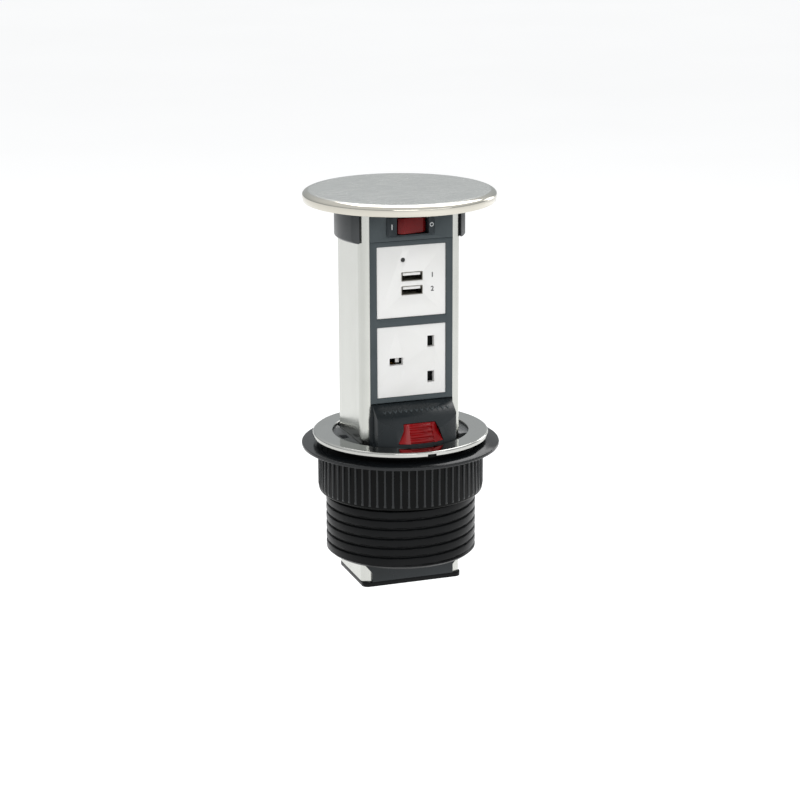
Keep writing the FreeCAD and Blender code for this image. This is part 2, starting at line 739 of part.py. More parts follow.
def make_threaded_sleeve():
    """A flanged tube with a right-hand thread: broad turns with a narrow groove wound between them."""
    body = new_body("threaded_sleeve")
    top_z = S.ring_top_z - S.ring_sheet
    corners = (
        (S.sleeve_bore_r, top_z),
        (S.flange_r, top_z),
        (S.flange_r, S.gasket_thick),
        (S.sleeve_r, S.gasket_thick),
        (S.sleeve_r, S.sleeve_low_z + S.sleeve_chamfer),
        (S.sleeve_r - S.sleeve_chamfer, S.sleeve_low_z),
        (S.sleeve_bore_r, S.sleeve_low_z),
    )
    turn(body, outline(body, "sleeve_section", "XZ", corners), "sleeve_turned")
    middle_z = S.sleeve_low_z + S.sleeve_chamfer + S.thread_mouth
    flare = (S.thread_mouth - S.thread_floor) * PAST / S.thread_deep / 2
    mouth, floor = S.thread_mouth / 2 + flare, S.thread_floor / 2
    groove = outline(body, "thread_groove_section", "XZ", (
        (S.sleeve_r + PAST, middle_z - mouth),
        (S.sleeve_r + PAST, middle_z + mouth),
        (S.sleeve_r - S.thread_deep, middle_z + floor),
        (S.sleeve_r - S.thread_deep, middle_z - floor),
    ))
    thread = body.newObject("PartDesign::SubtractiveHelix", "thread")
    thread.Profile = groove
    thread.ReferenceAxis = (groove, ["V_Axis"])
    thread.Mode = "pitch-turns-angle"
    bind(thread, "Pitch", S.thread_pitch)
    bind(thread, "Turns", S.thread_turns)
    return body


def make_worktop_gasket():
    whole = rod("gasket_disc", "z", (0, 0), (0, S.gasket_thick), S.gasket_outer_r)
    hole = rod("gasket_hole", "z", (0, 0), (-PAST, S.gasket_thick + PAST), S.gasket_inner_r)
    return cut("worktop_gasket", whole, hole)


# Clamped from below

def make_clamp_washer():
    body = new_body("clamp_washer")
    low_z = S.washer_top_z - S.washer_thick
    corners = (
        (S.thread_bore_r, low_z),
        (S.thread_bore_r, S.washer_top_z),
        (S.washer_r, S.washer_top_z),
        (S.washer_r, low_z),
    )
    turn(body, outline(body, "washer_section", "XZ", corners), "washer_turned")
    dress(body, "washer_upper_edge", "Fillet", S.washer_edge, ring_at(S.washer_r, S.washer_top_z))
    dress(body, "washer_lower_edge", "Fillet", S.washer_edge, ring_at(S.washer_r, low_z))
    return body


def make_ring_nut():
    """A ring with a plain collar, a ribbed wall and a lower end that draws in."""
    body = new_body("ring_nut")
    top_z = S.washer_top_z - S.washer_thick - S.turning_gap
    low_z = top_z - S.nut_height
    wall_r = S.nut_r - S.nut_rib_rise
    collar_z = top_z - S.nut_collar
    corners = (
        (S.thread_bore_r, low_z),
        (S.thread_bore_r, top_z),
        (S.nut_r, top_z),
        (S.nut_r, collar_z),
        (wall_r, collar_z),
        (wall_r, low_z),
    )
    turn(body, outline(body, "nut_section", "XZ", corners), "nut_turned")
    half, foot = S.nut_rib_width / 2, S.nut_rib_foot / 2
    root = wall_r - S.nut_rib_root
    rib = outline(body, "rib_shape", "XY",
                  ((-foot, -root), (foot, -root), (half, -S.nut_r), (-half, -S.nut_r)),
                  offset=low_z)
    rib_pad = pad(body, rib, S.nut_height - S.nut_collar, "rib")
    document.recompute()
    ribs = body.newObject("PartDesign::PolarPattern", "ribs")
    ribs.Originals = [rib_pad]
    ribs.Axis = (rib, ["N_Axis"])
    ribs.Angle = 360
    bind(ribs, "Occurrences", S.nut_rib_count)
    body.Tip = ribs
    document.recompute()
    taper_rise = PAST * S.nut_taper_in / S.nut_taper_rise
    taper = outline(body, "lower_end_section", "XZ", (
        (S.nut_r - S.nut_taper_in, low_z - PAST),
        (S.nut_r - S.nut_taper_in, low_z),
        (S.nut_r - S.nut_knee_in, low_z + S.nut_knee_rise),
        (S.nut_r + taper_rise, low_z + S.nut_taper_rise),
        (S.nut_r + taper_rise, low_z - PAST),
    ))
    turn(body, taper, "lower_end", "PartDesign::Groove")
    return body


# Extrusion, its caps and the lid

def port_centres():
    """The four screw ports on the extrusion's side walls, the front pair behind the black front pieces."""
    reach = S.profile_wall + S.port_r - S.port_sink
    return [(side * (S.tower_half_width - reach), y)
            for side in (-1, 1)
            for y in (S.panel_back_y + S.port_r + S.slip_gap, S.tower_back_y - reach)]


def make_tower_profile():
    body = new_body("tower_profile")
    low_z = S.base_low_z + S.base_lip
    length = S.tower_top_z - low_z
    out_x, in_x = S.tower_half_width, S.tower_half_width - S.profile_wall
    front, back = S.tower_front_y, S.tower_back_y
    section = outline(body, "extrusion_section", "XY", (
        (-out_x, back),
        (out_x, back),
        (out_x, front),
        (S.opening_half, front),
        (S.opening_half, front + S.profile_wall),
        (in_x, front + S.profile_wall),
        (in_x, back - S.profile_wall),
        (-in_x, back - S.profile_wall),
        (-in_x, front + S.profile_wall),
        (-S.opening_half, front + S.profile_wall),
        (-S.opening_half, front),
        (-out_x, front),
    ), offset=low_z)
    pad(body, section, length, "extrusion")

    def is_corner(x, ys):
        def picks(edge):
            middle = edge.BoundBox.Center
            return is_upright(edge) and near(abs(middle.x), x) and any(near(middle.y, y) for y in ys)
        return picks

    dress(body, "outer_corners", "Fillet", S.profile_corner_r, is_corner(out_x, (front, back)))
    dress(body, "inner_corners", "Fillet", S.profile_inner_r,
          is_corner(in_x, (front + S.profile_wall, back - S.profile_wall)))
    pad(body, circles(body, "port_rings", "XY", port_centres(), S.port_r, offset=low_z), length, "ports")
    bores = circles(body, "port_holes", "XY", port_centres(), S.port_bore_r, offset=S.tower_top_z)
    pocket(body, bores, length, "port_bores")
    return body


def port_rods(name, z, radius):
    return [rod("%s_%d" % (name, index), "z", centre, z, radius)
            for index, centre in enumerate(port_centres(), start=1)]


def make_top_cap():
    """Plugs the extrusion's upper end between its screw ports and carries the plate under the lid."""
    inside_x = S.tower_half_width - S.profile_wall - S.seat_gap
    z = (S.tower_top_z - S.top_cap_deep, S.tower_top_z)
    front, back = S.panel_back_y + S.seat_gap, S.tower_back_y - S.profile_wall - S.seat_gap
    plug = box("top_plug", (-inside_x, inside_x), (front, back), z)
    corner_room = port_rods("top_plug_room", (z[0] - PAST, z[1] + PAST), S.port_r + S.profile_inner_r)
    hollow_x = inside_x - S.top_cap_side
    hollow = box("top_plug_hollow", (-hollow_x, hollow_x), (front + S.top_cap_front, back - S.top_cap_back),
                 (z[0] - PAST, z[1] - S.top_cap_roof))
    return cut("top_cap", plug, hollow, *corner_room)


def shoulder(inset):
    """Corners along the lid's rounded shoulder, from its flat top to its widest place, moved in by an inset."""
    across, down = S.lid_r - S.lid_flat_r - inset, S.lid_top_z - S.lid_widest_z - inset
    corners = []
    for step in range(SHOULDER_STEPS + 1):
        angle = math.radians(90 * step / SHOULDER_STEPS)
        corners.append((S.lid_flat_r + across * math.sin(angle), S.lid_widest_z + down * math.cos(angle)))
    return corners


def make_lid_cap():
    """A drawn steel lid: flat top, rounded shoulder and a rim that draws in a little at its lower edge."""
    body = new_body("lid_cap")
    low_r = S.lid_r - S.lid_draw_in
    corners = [(0, S.lid_top_z)] + shoulder(0)
    corners += [(low_r, S.lid_low_z), (low_r - S.lid_sheet, S.lid_low_z)]
    corners += reversed(shoulder(S.lid_sheet))
    corners.append((0, S.lid_top_z - S.lid_sheet))
    turn(body, outline(body, "lid_section", "XZ", corners), "lid_turned")
    return body


def make_lid_under_plate():
    body = new_body("lid_under_plate")
    low_z = S.tower_top_z
    top_z = low_z + S.under_plate_thick
    edge_r = S.lid_r - S.lid_draw_in - S.lid_sheet - S.slip_gap
    roof_z = S.lid_top_z - S.lid_sheet
    ring_r = S.lid_flat_r - S.under_ring_in
    corners = (
        (0, low_z),
        (edge_r, low_z),
        (edge_r, top_z),
        (ring_r, top_z),
        (ring_r, roof_z),
        (ring_r - S.under_ring_wide, roof_z),
        (ring_r - S.under_ring_wide, top_z),
        (0, top_z),
    )
    turn(body, outline(body, "under_plate_section", "XZ", corners), "under_plate_turned")
    holes = circles(body, "lid_screw_holes", "XY", port_centres(), S.screw_r + S.seat_gap, offset=top_z)
    pocket(body, holes, S.under_plate_thick, "lid_screw_bores")
    return body


def screws(name, centres, head_z, shank_z, head_r, shank_r):
    """Round-headed screws: each a head and a shank in one solid."""
    pieces = []
    for index, centre in enumerate(centres, start=1):
        head = rod("%s_head_%d" % (name, index), "z", centre, head_z, head_r)
        shank = rod("%s_shank_%d" % (name, index), "z", centre, shank_z, shank_r)
        pieces.append(fuse("%s_%d" % (name, index), head, shank))
    return group(name, *pieces)


def make_lid_screws():
    seat_z = S.tower_top_z + S.under_plate_thick
    return screws("lid_screws", port_centres(), (seat_z, seat_z + S.screw_head),
                  (seat_z - S.lid_screw_long, seat_z), S.lid_screw_head_r, S.screw_r)


def block_prism(name, side, z):
    """A prism beside the tower whose slanted front face starts at the extrusion's corner."""
    body = new_body(name)
    wide = S.block_r + PAST - S.tower_half_width
    near_x, far_x = side * S.tower_half_width, side * (S.tower_half_width + wide)
    plan = outline(body, name + "_plan", "XY", (
        (near_x, S.block_front_y),
        (far_x, S.block_front_y + wide * S.block_slant),
        (far_x, S.block_r),
        (near_x, S.block_r),
    ), offset=z[0])
    pad(body, plan, z[1] - z[0], name + "_pad")
    return body


def side_piece(name, side, radius, front_y, z):
    """The round segment between the tower's side and a circle about the axis."""
    drum = rod(name + "_drum", "z", (0, 0), z, radius)
    near_x, far_x = side * S.tower_half_width, side * (radius + PAST)
    span = (near_x, far_x) if side > 0 else (far_x, near_x)
    slab = box(name + "_slab", span, (front_y, radius), z)
    return common(name, drum, slab)


def make_side_block(name, side):
    """Centres the closed lid in the ring. Its front face slants back and its lower edge draws in."""
    raw = block_prism(name + "_raw", side, (S.block_low_z, S.tower_top_z))
    lead = cone(name + "_lead", (0, 0), (S.block_low_z, S.block_low_z + S.block_round),
                S.block_r - S.block_round, S.block_r)
    upper = rod(name + "_upper", "z", (0, 0), (S.block_low_z + S.block_round, S.tower_top_z), S.block_r)
    return common(name, raw, fuse(name + "_form", lead, upper))


def make_side_guide(name, side, with_hole):
    """Runs in the sleeve's bore and stops the raised tower under the ring's lip."""
    z = (S.guide_low_z, S.guide_top_z)
    if not with_hole:
        return side_piece(name, side, S.guide_r, S.side_guide_front_y, z)
    raw = side_piece(name + "_raw", side, S.guide_r, S.side_guide_front_y, z)
    middle_x = side * (S.tower_half_width + S.guide_hole_in)
    half_x, half_y = S.guide_hole_wide / 2, S.guide_hole_long / 2
    hole = box(name + "_hole", (middle_x - half_x, middle_x + half_x), (-half_y, half_y),
               (S.guide_top_z - S.guide_hole_deep, S.guide_top_z + PAST))
    return cut(name, raw, hole)


def make_rear_guide():
    z = (S.guide_low_z, S.guide_top_z)
    drum = rod("rear_guide_drum", "z", (0, 0), z, S.guide_r)
    half = S.rear_guide_half
    slab = box("rear_guide_slab", (-half, half), (S.tower_back_y, S.guide_r + PAST), z)
    solid = common("rear_guide_solid", drum, slab)
    room_z = (z[0] - PAST, z[1] - S.housing_wall)
    inner = rod("rear_guide_inner", "z", (0, 0), room_z, S.guide_r - S.housing_wall)
    inner_slab = box("rear_guide_inner_slab", (-half + S.housing_wall, half - S.housing_wall),
                     (S.tower_back_y + S.housing_wall, S.guide_r), room_z)
    return cut("rear_guide", solid, common("rear_guide_hollow", inner, inner_slab))


# Black front pieces

def window_corners(middle_x, middle_z, wide, tall):
    half_x, half_z = wide / 2, tall / 2
    return (
        (middle_x - half_x, middle_z - half_z),
        (middle_x + half_x, middle_z - half_z),
        (middle_x + half_x, middle_z + half_z),
        (middle_x - half_x, middle_z + half_z),
    )


def front_pad(body, name, corners, front_y, back_y):
    """Raises an outline on XZ from one depth to a depth nearer the front."""
    return pad(body, outline(body, name + "_shape", "XZ", corners, offset=-back_y), back_y - front_y, name)


def front_pocket(body, name, corners, front_y, back_y):
    """Cuts an outline on XZ from one depth to a depth further back."""
    return pocket(body, outline(body, name + "_shape", "XZ", corners, offset=-front_y), back_y - front_y,
                  name)


def front_panel(name, low_z, top_z):
    """A black panel: its face fills the extrusion's opening, its flange sits behind the opening's edges."""
    body = new_body(name)
    height = top_z - low_z
    middle_z = (top_z + low_z) / 2
    behind_y = S.tower_front_y + S.profile_wall + S.seat_gap
    face_wide = 2 * (S.opening_half - S.seat_gap)
    front_pad(body, name + "_face", window_corners(0, middle_z, face_wide, height), S.panel_front_y, behind_y)
    front_pad(body, name + "_flange", window_corners(0, middle_z, face_wide + 2 * S.panel_flange, height),
              behind_y, S.panel_back_y)
    return body


def make_module_frame():
    body = front_panel("module_frame", S.frame_low_z, S.frame_top_z)
    side = S.window_side
    inner = side + 2 * (S.plate_lip + S.seat_gap)
    step_y = S.panel_front_y + S.window_lip
    for name, middle_z in (("socket", S.socket_mid_z), ("usb", S.usb_mid_z)):
        front_pocket(body, name + "_window", window_corners(0, middle_z, side, side),
                     S.panel_front_y - PAST, S.panel_back_y + PAST)
        front_pocket(body, name + "_rebate", window_corners(0, middle_z, inner, inner),
                     step_y, S.panel_back_y + PAST)
    return body


def white_plate(name, middle_z):
    """A white plate: its face fills a window of the frame, its lip sits behind the window's edge."""
    body = new_body(name)
    face = S.window_side - 2 * S.seat_gap
    step_y = S.panel_front_y + S.window_lip
    lip = face + 2 * S.plate_lip
    front_pad(body, name + "_face", window_corners(0, middle_z, face, face), S.plate_front_y, step_y)
    front_pad(body, name + "_lip", window_corners(0, middle_z, lip, lip), step_y, S.panel_back_y)
    return body


def make_switch_panel():
    body = front_panel("switch_panel", S.frame_top_z, S.tower_top_z)
    front_pocket(body, "breaker_window",
                 window_corners(S.breaker_x, S.breaker_z, S.breaker_wide + 2 * S.seat_gap,
                                S.breaker_tall + 2 * S.seat_gap),
                 S.panel_front_y - PAST, S.panel_back_y + PAST)
    return body


# Overload breaker

def make_breaker_housing():
    """A moulded case with a raised, bevelled bezel, and a well with bearings for the rocker."""
    bezel = new_body("breaker_bezel")
    bezel_y = S.panel_front_y - S.bezel_rise
    front_pad(bezel, "bezel_pad", window_corners(S.breaker_x, S.breaker_z, S.bezel_wide, S.bezel_tall),
              bezel_y, S.panel_front_y)

    def is_corner(edge):
        return edge.BoundBox.XLength < 0.01 and edge.BoundBox.ZLength < 0.01

    def is_front(edge):
        return near(edge.BoundBox.YMin, bezel_y) and near(edge.BoundBox.YMax, bezel_y)

    dress(bezel, "bezel_corners", "Fillet", S.bezel_round, is_corner)
    dress(bezel, "bezel_sides", "Chamfer", S.bezel_chamfer, is_front)
    case = new_body("breaker_case")
    front_pad(case, "breaker_box", window_corners(S.breaker_x, S.breaker_z, S.breaker_wide, S.breaker_tall),
              S.panel_front_y, S.panel_front_y + S.breaker_depth)
    well = new_body("rocker_room")
    gap = 2 * S.rocker_well_side
    front_pad(well, "rocker_well",
              window_corners(S.rocker_x, S.breaker_z, S.rocker_wide + gap, S.rocker_tall + gap),
              bezel_y - PAST, S.rocker_pin_y + S.rocker_well_deep)
    half = S.rocker_tall / 2 + S.rocker_pin_long + S.seat_gap
    bearing = rod("trunnion_bearing", "z", (S.rocker_x, S.rocker_pin_y),
                  (S.breaker_z - half, S.breaker_z + half),
                  S.rocker_pin_r + S.seat_gap / 2)
    return cut("breaker_housing", fuse("breaker_solid", bezel, case), well, bearing)


def make_breaker_rocker():
    """The red rocker, tipped about its upright trunnions so that its right end lies in."""
    body = new_body("breaker_rocker_form")
    half, face_half, keel_half = S.rocker_wide / 2, S.rocker_face_half, S.rocker_keel_half
    face_y = -S.rocker_drop
    end_y = face_y + S.rocker_bevel
    low_z = -S.rocker_tall / 2
    section = outline(body, "rocker_section", "XY", (
        (-half, end_y),
        (-face_half, face_y),
        (face_half, face_y),
        (half, end_y),
        (half, end_y + S.rocker_cheek),
        (keel_half, S.rocker_keel),
        (-keel_half, S.rocker_keel),
        (-half, end_y + S.rocker_cheek),
    ), offset=low_z)
    pad(body, section, S.rocker_tall, "rocker_pad")
    trunnion = circles(body, "trunnion_shape", "XY", [(0, 0)], S.rocker_pin_r,
                       offset=low_z - S.rocker_pin_long)
    pad(body, trunnion, S.rocker_tall + 2 * S.rocker_pin_long, "trunnions")
    document.recompute()
    rocker = document.addObject("Part::Compound", "breaker_rocker")
    rocker.Links = [body]
    rocker.Placement = Placement(Vector(), Rotation(Vector(0, 0, 1), S.rocker_tilt.now))
    bind(rocker, "Placement.Base.x", S.rocker_x)
    bind(rocker, "Placement.Base.y", S.rocker_pin_y)
    bind(rocker, "Placement.Base.z", S.breaker_z)
    return rocker


def make_breaker_terminals():
    back_y = S.panel_front_y + S.breaker_depth
    half_x, half_z = S.blade_thick / 2, S.blade_wide / 2
    blades = []
    for place in (-1, 0, 1):
        x = S.breaker_x + place * S.blade_pitch
        blades.append(box("breaker_blade_%d" % (place + 2), (x - half_x, x + half_x),
                          (back_y, back_y + S.blade_long), (S.breaker_z - half_z, S.breaker_z + half_z)))
    return group("breaker_terminals", *blades)


# Charger

def make_usb_plate():
    body = white_plate("usb_plate", S.usb_mid_z)
    front, back = S.plate_front_y - PAST, S.panel_back_y + PAST
    for name, z in (("upper", S.usb_upper_z), ("lower", S.usb_lower_z)):
        front_pocket(body, name + "_slot", window_corners(S.usb_slot_x, z, S.usb_slot_wide, S.usb_slot_tall),
                     front, back)
    lamp = circles(body, "lamp_hole_shape", "XZ", [(S.lamp_x, S.lamp_z)], S.lamp_r + S.seat_gap / 2,
                   offset=-front)
    pocket(body, lamp, back - front, "lamp_hole")
    return body


def usb_shell(name, z):
    half_x = S.usb_slot_wide / 2 - S.seat_gap / 2
    half_z = S.usb_slot_tall / 2 - S.seat_gap / 2
    y = (S.plate_front_y + S.usb_shell_sink, S.plate_front_y + S.usb_depth)
    whole = box(name + "_outer", (S.usb_slot_x - half_x, S.usb_slot_x + half_x), y, (z - half_z, z + half_z))
    in_x, in_z = half_x - S.usb_sheet, half_z - S.usb_sheet
    hollow = box(name + "_inner", (S.usb_slot_x - in_x, S.usb_slot_x + in_x),
                 (y[0] - PAST, y[1] - S.usb_sheet),
                 (z - in_z, z + in_z))
    return cut(name, whole, hollow)


def usb_tongue(name, z):
    top_z = z + S.usb_slot_tall / 2 - S.seat_gap / 2 - S.usb_sheet
    half_x = S.tongue_wide / 2
    y = (S.plate_front_y + S.tongue_sink, S.plate_front_y + S.usb_depth - S.usb_sheet)
    return box(name, (S.usb_slot_x - half_x, S.usb_slot_x + half_x), y, (top_z - S.tongue_thick, top_z))


def make_usb_shells():
    return group("usb_shells", usb_shell("upper_shell", S.usb_upper_z),
                 usb_shell("lower_shell", S.usb_lower_z))


def make_usb_tongues():
    return group("usb_tongues", usb_tongue("upper_tongue", S.usb_upper_z),
                 usb_tongue("lower_tongue", S.usb_lower_z))


def board_front():
    return S.plate_front_y + S.usb_depth


def make_usb_board():
    half = S.board_side / 2
    front = board_front()
    return box("usb_board", (-half, half), (front, front + S.board_thick),
               (S.usb_mid_z - half, S.usb_mid_z + half))


def make_usb_transformer():
    """A core with its winding between two cheeks, on the back of the board."""
    y0 = board_front() + S.board_thick
    y1 = y0 + S.core_deep
    middle = S.usb_mid_z + S.core_rise
    half_x, half_z = S.core_wide / 2, S.core_tall / 2
    core = box("transformer_core", (S.core_x - half_x, S.core_x + half_x), (y0, y1),
               (middle - half_z, middle + half_z))
    wound_x, wound_z = half_x - S.core_leg, half_z + S.winding_over
    winding = box("transformer_winding", (S.core_x - wound_x, S.core_x + wound_x),
                  (y0 + S.core_cover, y1 - S.core_cover), (middle - wound_z, middle + wound_z))
    return fuse("usb_transformer", core, winding)


def make_usb_capacitors():
    y0 = board_front() + S.board_thick
    low_z = S.usb_mid_z - S.can_drop
    places = ((-S.can_pitch, low_z, S.can_r), (0, low_z, S.can_r),
              (S.small_can_x, S.usb_mid_z + S.small_can_rise, S.small_can_r))
    cans = [rod("usb_can_%d" % index, "y", (x, z), (y0, y0 + S.can_high), radius)
            for index, (x, z, radius) in enumerate(places, start=1)]
    return group("usb_capacitors", *cans)


def make_charge_lamp():
    return rod("charge_lamp", "y", (S.lamp_x, S.lamp_z), (S.plate_front_y + S.seat_gap, board_front()),
               S.lamp_r)


# Socket

def line_heights():
    half = S.pin_pitch / 2
    return (("live", S.socket_mid_z + half), ("neutral", S.socket_mid_z - half))


def earth_x():
    return S.line_x - S.pin_pitch


def make_socket_plate():
    body = white_plate("socket_plate", S.socket_mid_z)
    front, back = S.plate_front_y - PAST, S.panel_back_y + PAST
    for name, z in line_heights():
        front_pocket(body, name + "_aperture",
                     window_corners(S.line_x, z, S.line_slot_wide, S.line_slot_tall), front, back)
    front_pocket(body, "earth_aperture",
                 window_corners(earth_x(), S.socket_mid_z, S.earth_slot_wide, S.earth_slot_tall),
                 front, back)
    return body


def shutter_front():
    return S.panel_back_y + S.slip_gap


def shutter_reach():
    """How far the bar covers above and below the two line apertures."""
    return S.pin_pitch / 2 + S.line_slot_tall / 2 + S.shutter_cover


def base_floor():
    return shutter_front() + S.shutter_thick + S.slip_gap


def make_socket_base():
    """The moulded back of the socket: a tray for the shutter and three chambers for the contacts."""
    half = S.window_side / 2 + S.plate_lip - S.seat_gap
    mid = S.socket_mid_z
    whole = box("socket_block", (-half, half), (S.panel_back_y, S.panel_back_y + S.socket_base_depth),
                (mid - half, mid + half))
    reach = shutter_reach() + S.tray_end
    tray = box("shutter_tray", (-half + S.socket_wall, half - S.socket_wall),
               (S.panel_back_y - PAST, base_floor()),
               (mid - reach, mid + reach))
    chamber_y = (base_floor() - PAST, base_floor() + S.chamber_depth)
    side_x, end_z = leaf_reach() + S.chamber_side, S.line_contact_half + S.chamber_end
    rooms = [box(name + "_chamber", (S.line_x - side_x, S.line_x + side_x), chamber_y, (z - end_z, z + end_z))
             for name, z in line_heights()]
    end_x = S.earth_contact_half + S.earth_chamber_end
    earth_room = box("earth_chamber", (earth_x() - end_x, earth_x() + end_x), chamber_y,
                     (mid - side_x, mid + side_x))
    post = box("spring_post", spring_post_x(), (shutter_front() + S.spring_post_cap, base_floor()),
               (spring_z() - S.spring_post_half, spring_z() + S.spring_post_half))
    hollow = cut("socket_hollow", fuse("socket_rooms", tray, earth_room, *rooms), post)
    return cut("socket_base", whole, hollow)


def spring_z():
    return S.socket_mid_z - S.shutter_arm_half - S.spring_drop


def spring_post_x():
    end_x = S.line_x - S.shutter_half_width - S.spring_post_gap
    return (end_x - S.spring_post_wide, end_x)


def spring_lug_x():
    start_x = earth_x() + S.shutter_lug_in
    return (start_x, start_x + S.shutter_lug_thick)


def make_socket_shutter():
    """The sliding shutter: a bar over the line and neutral chambers, and an arm with a tip in the earth slot."""
    front = shutter_front()
    y = (front, front + S.shutter_thick)
    mid = S.socket_mid_z
    reach = shutter_reach()
    bar = box("shutter_bar", (S.line_x - S.shutter_half_width, S.line_x + S.shutter_half_width), y,
              (mid - reach, mid + reach))
    tip_x = earth_x() + S.tip_in
    arm = box("shutter_arm", (tip_x, S.line_x), y, (mid - S.shutter_arm_half, mid + S.shutter_arm_half))
    tip_half = S.earth_slot_tall / 2 + S.tip_over
    tip = box("shutter_tip", (tip_x, tip_x + S.tip_wide), y, (mid - tip_half, mid + tip_half))
    lug = box("shutter_lug", spring_lug_x(), y, (spring_z() - S.shutter_lug_half, mid))
    return fuse("socket_shutter", bar, arm, tip, lug)


def leaf_reach():
    """From a contact's middle to the outside of its leaves."""
    return S.contact_grip / 2 + S.contact_sheet


def contact_span():
    return (base_floor() + S.contact_sink, base_floor() + S.chamber_depth)


def line_contact(name, z):
    """A folded brass contact: two leaves that grip a flat pin and a web at the back."""
    y = contact_span()
    half, outer, end = S.contact_grip / 2, leaf_reach(), S.line_contact_half
    whole = box(name + "_fold", (S.line_x - outer, S.line_x + outer), y, (z - end, z + end))
    gap = box(name + "_gap", (S.line_x - half, S.line_x + half), (y[0] - PAST, y[1] - S.contact_sheet),
              (z - end - PAST, z + end + PAST))
    return cut(name, whole, gap)


def make_earth_contact():
    y = contact_span()
    half, outer, end = S.contact_grip / 2, leaf_reach(), S.earth_contact_half
    mid = S.socket_mid_z
    whole = box("earth_fold", (earth_x() - end, earth_x() + end), y, (mid - outer, mid + outer))
    gap = box("earth_gap", (earth_x() - end - PAST, earth_x() + end + PAST),
              (y[0] - PAST, y[1] - S.contact_sheet),
              (mid - half, mid + half))
    return cut("earth_contact", whole, gap)


def contact_spots():
    """Where each contact's terminal stands out of the socket base's back, as x and z."""
    (_, live_z), (_, neutral_z) = line_heights()
    return (
        ("live", S.line_x + S.post_shift, live_z),
        ("neutral", S.line_x - S.post_shift, neutral_z),
        ("earth", earth_x(), S.socket_mid_z),
    )


def make_contact_terminals():
    """The three brass terminal posts behind the socket base."""
    back_y = S.panel_back_y + S.socket_base_depth
    half = S.post_side / 2
    posts = []
    for name, x, z in contact_spots():
        post = box(name + "_post_block", (x - half, x + half), (back_y, back_y + S.post_deep),
                   (z - half, z + half))
        bore = rod(name + "_post_bore", "z", (x, back_y + S.post_deep / 2),
                   (z - half - PAST, z + half + PAST),
                   S.wire_r + S.seat_gap)
        posts.append(cut(name + "_post", post, bore))
    return group("contact_terminals", *posts)


def make_contact_screws():
    back_y = S.panel_back_y + S.socket_base_depth + S.post_deep
    return group("contact_screws", *[
        rod(name + "_contact_screw", "y", (x, z), (back_y, back_y + S.post_screw_high), S.post_screw_r)
        for name, x, z in contact_spots()])


# Springs

def coil(name, radius, wire_r, length, turns, start, direction):
    """A wound spring: a round wire swept along a helix that starts at a point and runs in a direction."""
    mean_r, wire = number(radius), number(wire_r)
    span = number(length) - 2 * wire
    helix = Part.makeHelix(span / number(turns), span, mean_r)
    section = Part.Wire(Part.makeCircle(wire, Vector(mean_r, 0, 0), Vector(0, 1, 0)).Edges)
    solid = Part.Wire(helix.Edges).makePipeShell([section], True, True)
    spring = document.addObject("Part::Feature", name)
    spring.Shape = solid
    along = Vector(*direction)
    base = Vector(*[number(value) for value in start]) + along * wire
    spring.Placement = Placement(base, Rotation(Vector(0, 0, 1), along))
    return spring


def make_shutter_spring():
    start_x, end_x = spring_lug_x()[1], spring_post_x()[0]
    middle_y = shutter_front() + S.shutter_thick / 2
    return coil("shutter_spring", S.shutter_spring_r, S.spring_wire_r, end_x - start_x,
                S.shutter_spring_turns,
                (start_x, middle_y, spring_z()), (1, 0, 0))


# Release housing and its button

def slope_y(z):
    """Where the housing's slope lies at a height."""
    run = (S.frame_low_z - z) / (S.frame_low_z - S.bulge_edge_z)
    return S.panel_front_y + run * (-S.bulge_r - S.panel_front_y)


def cut_slope(body, name, rise):
    """Takes away what lies in front of the slope, moved forward by a rise."""
    low_z = S.guide_top_z - PAST
    top_z = S.frame_low_z + PAST
    reach = -2 * S.bulge_r
    start_y = slope_y(S.frame_low_z) - rise
    wedge = outline(body, name + "_shape", "YZ", (
        (start_y, S.frame_low_z),
        (slope_y(low_z) - rise, low_z),
        (reach, low_z),
        (reach, top_z),
        (start_y, top_z),
    ), offset=S.guide_r)
    return pocket(body, wedge, 2 * S.guide_r, name)


def make_bulge():
    """The round bulge in front of the tower, under a slope that runs up to the module frame."""
    body = new_body("bulge")
    half = S.bulge_half
    base = sector(body, "bulge_plan", S.bulge_r, half, S.tower_front_y, S.guide_top_z)
    pad(body, base, S.housing_top_z - S.guide_top_z, "bulge_drum")
    side_y = -(S.bulge_r * S.bulge_r - half * half).root()

    def is_side(edge):
        middle = edge.BoundBox.Center
        return is_upright(edge) and near(abs(middle.x), half) and near(middle.y, side_y)

    dress(body, "bulge_sides", "Fillet", S.bulge_side_round, is_side)
    cut_slope(body, "bulge_slope", 0)
    return body


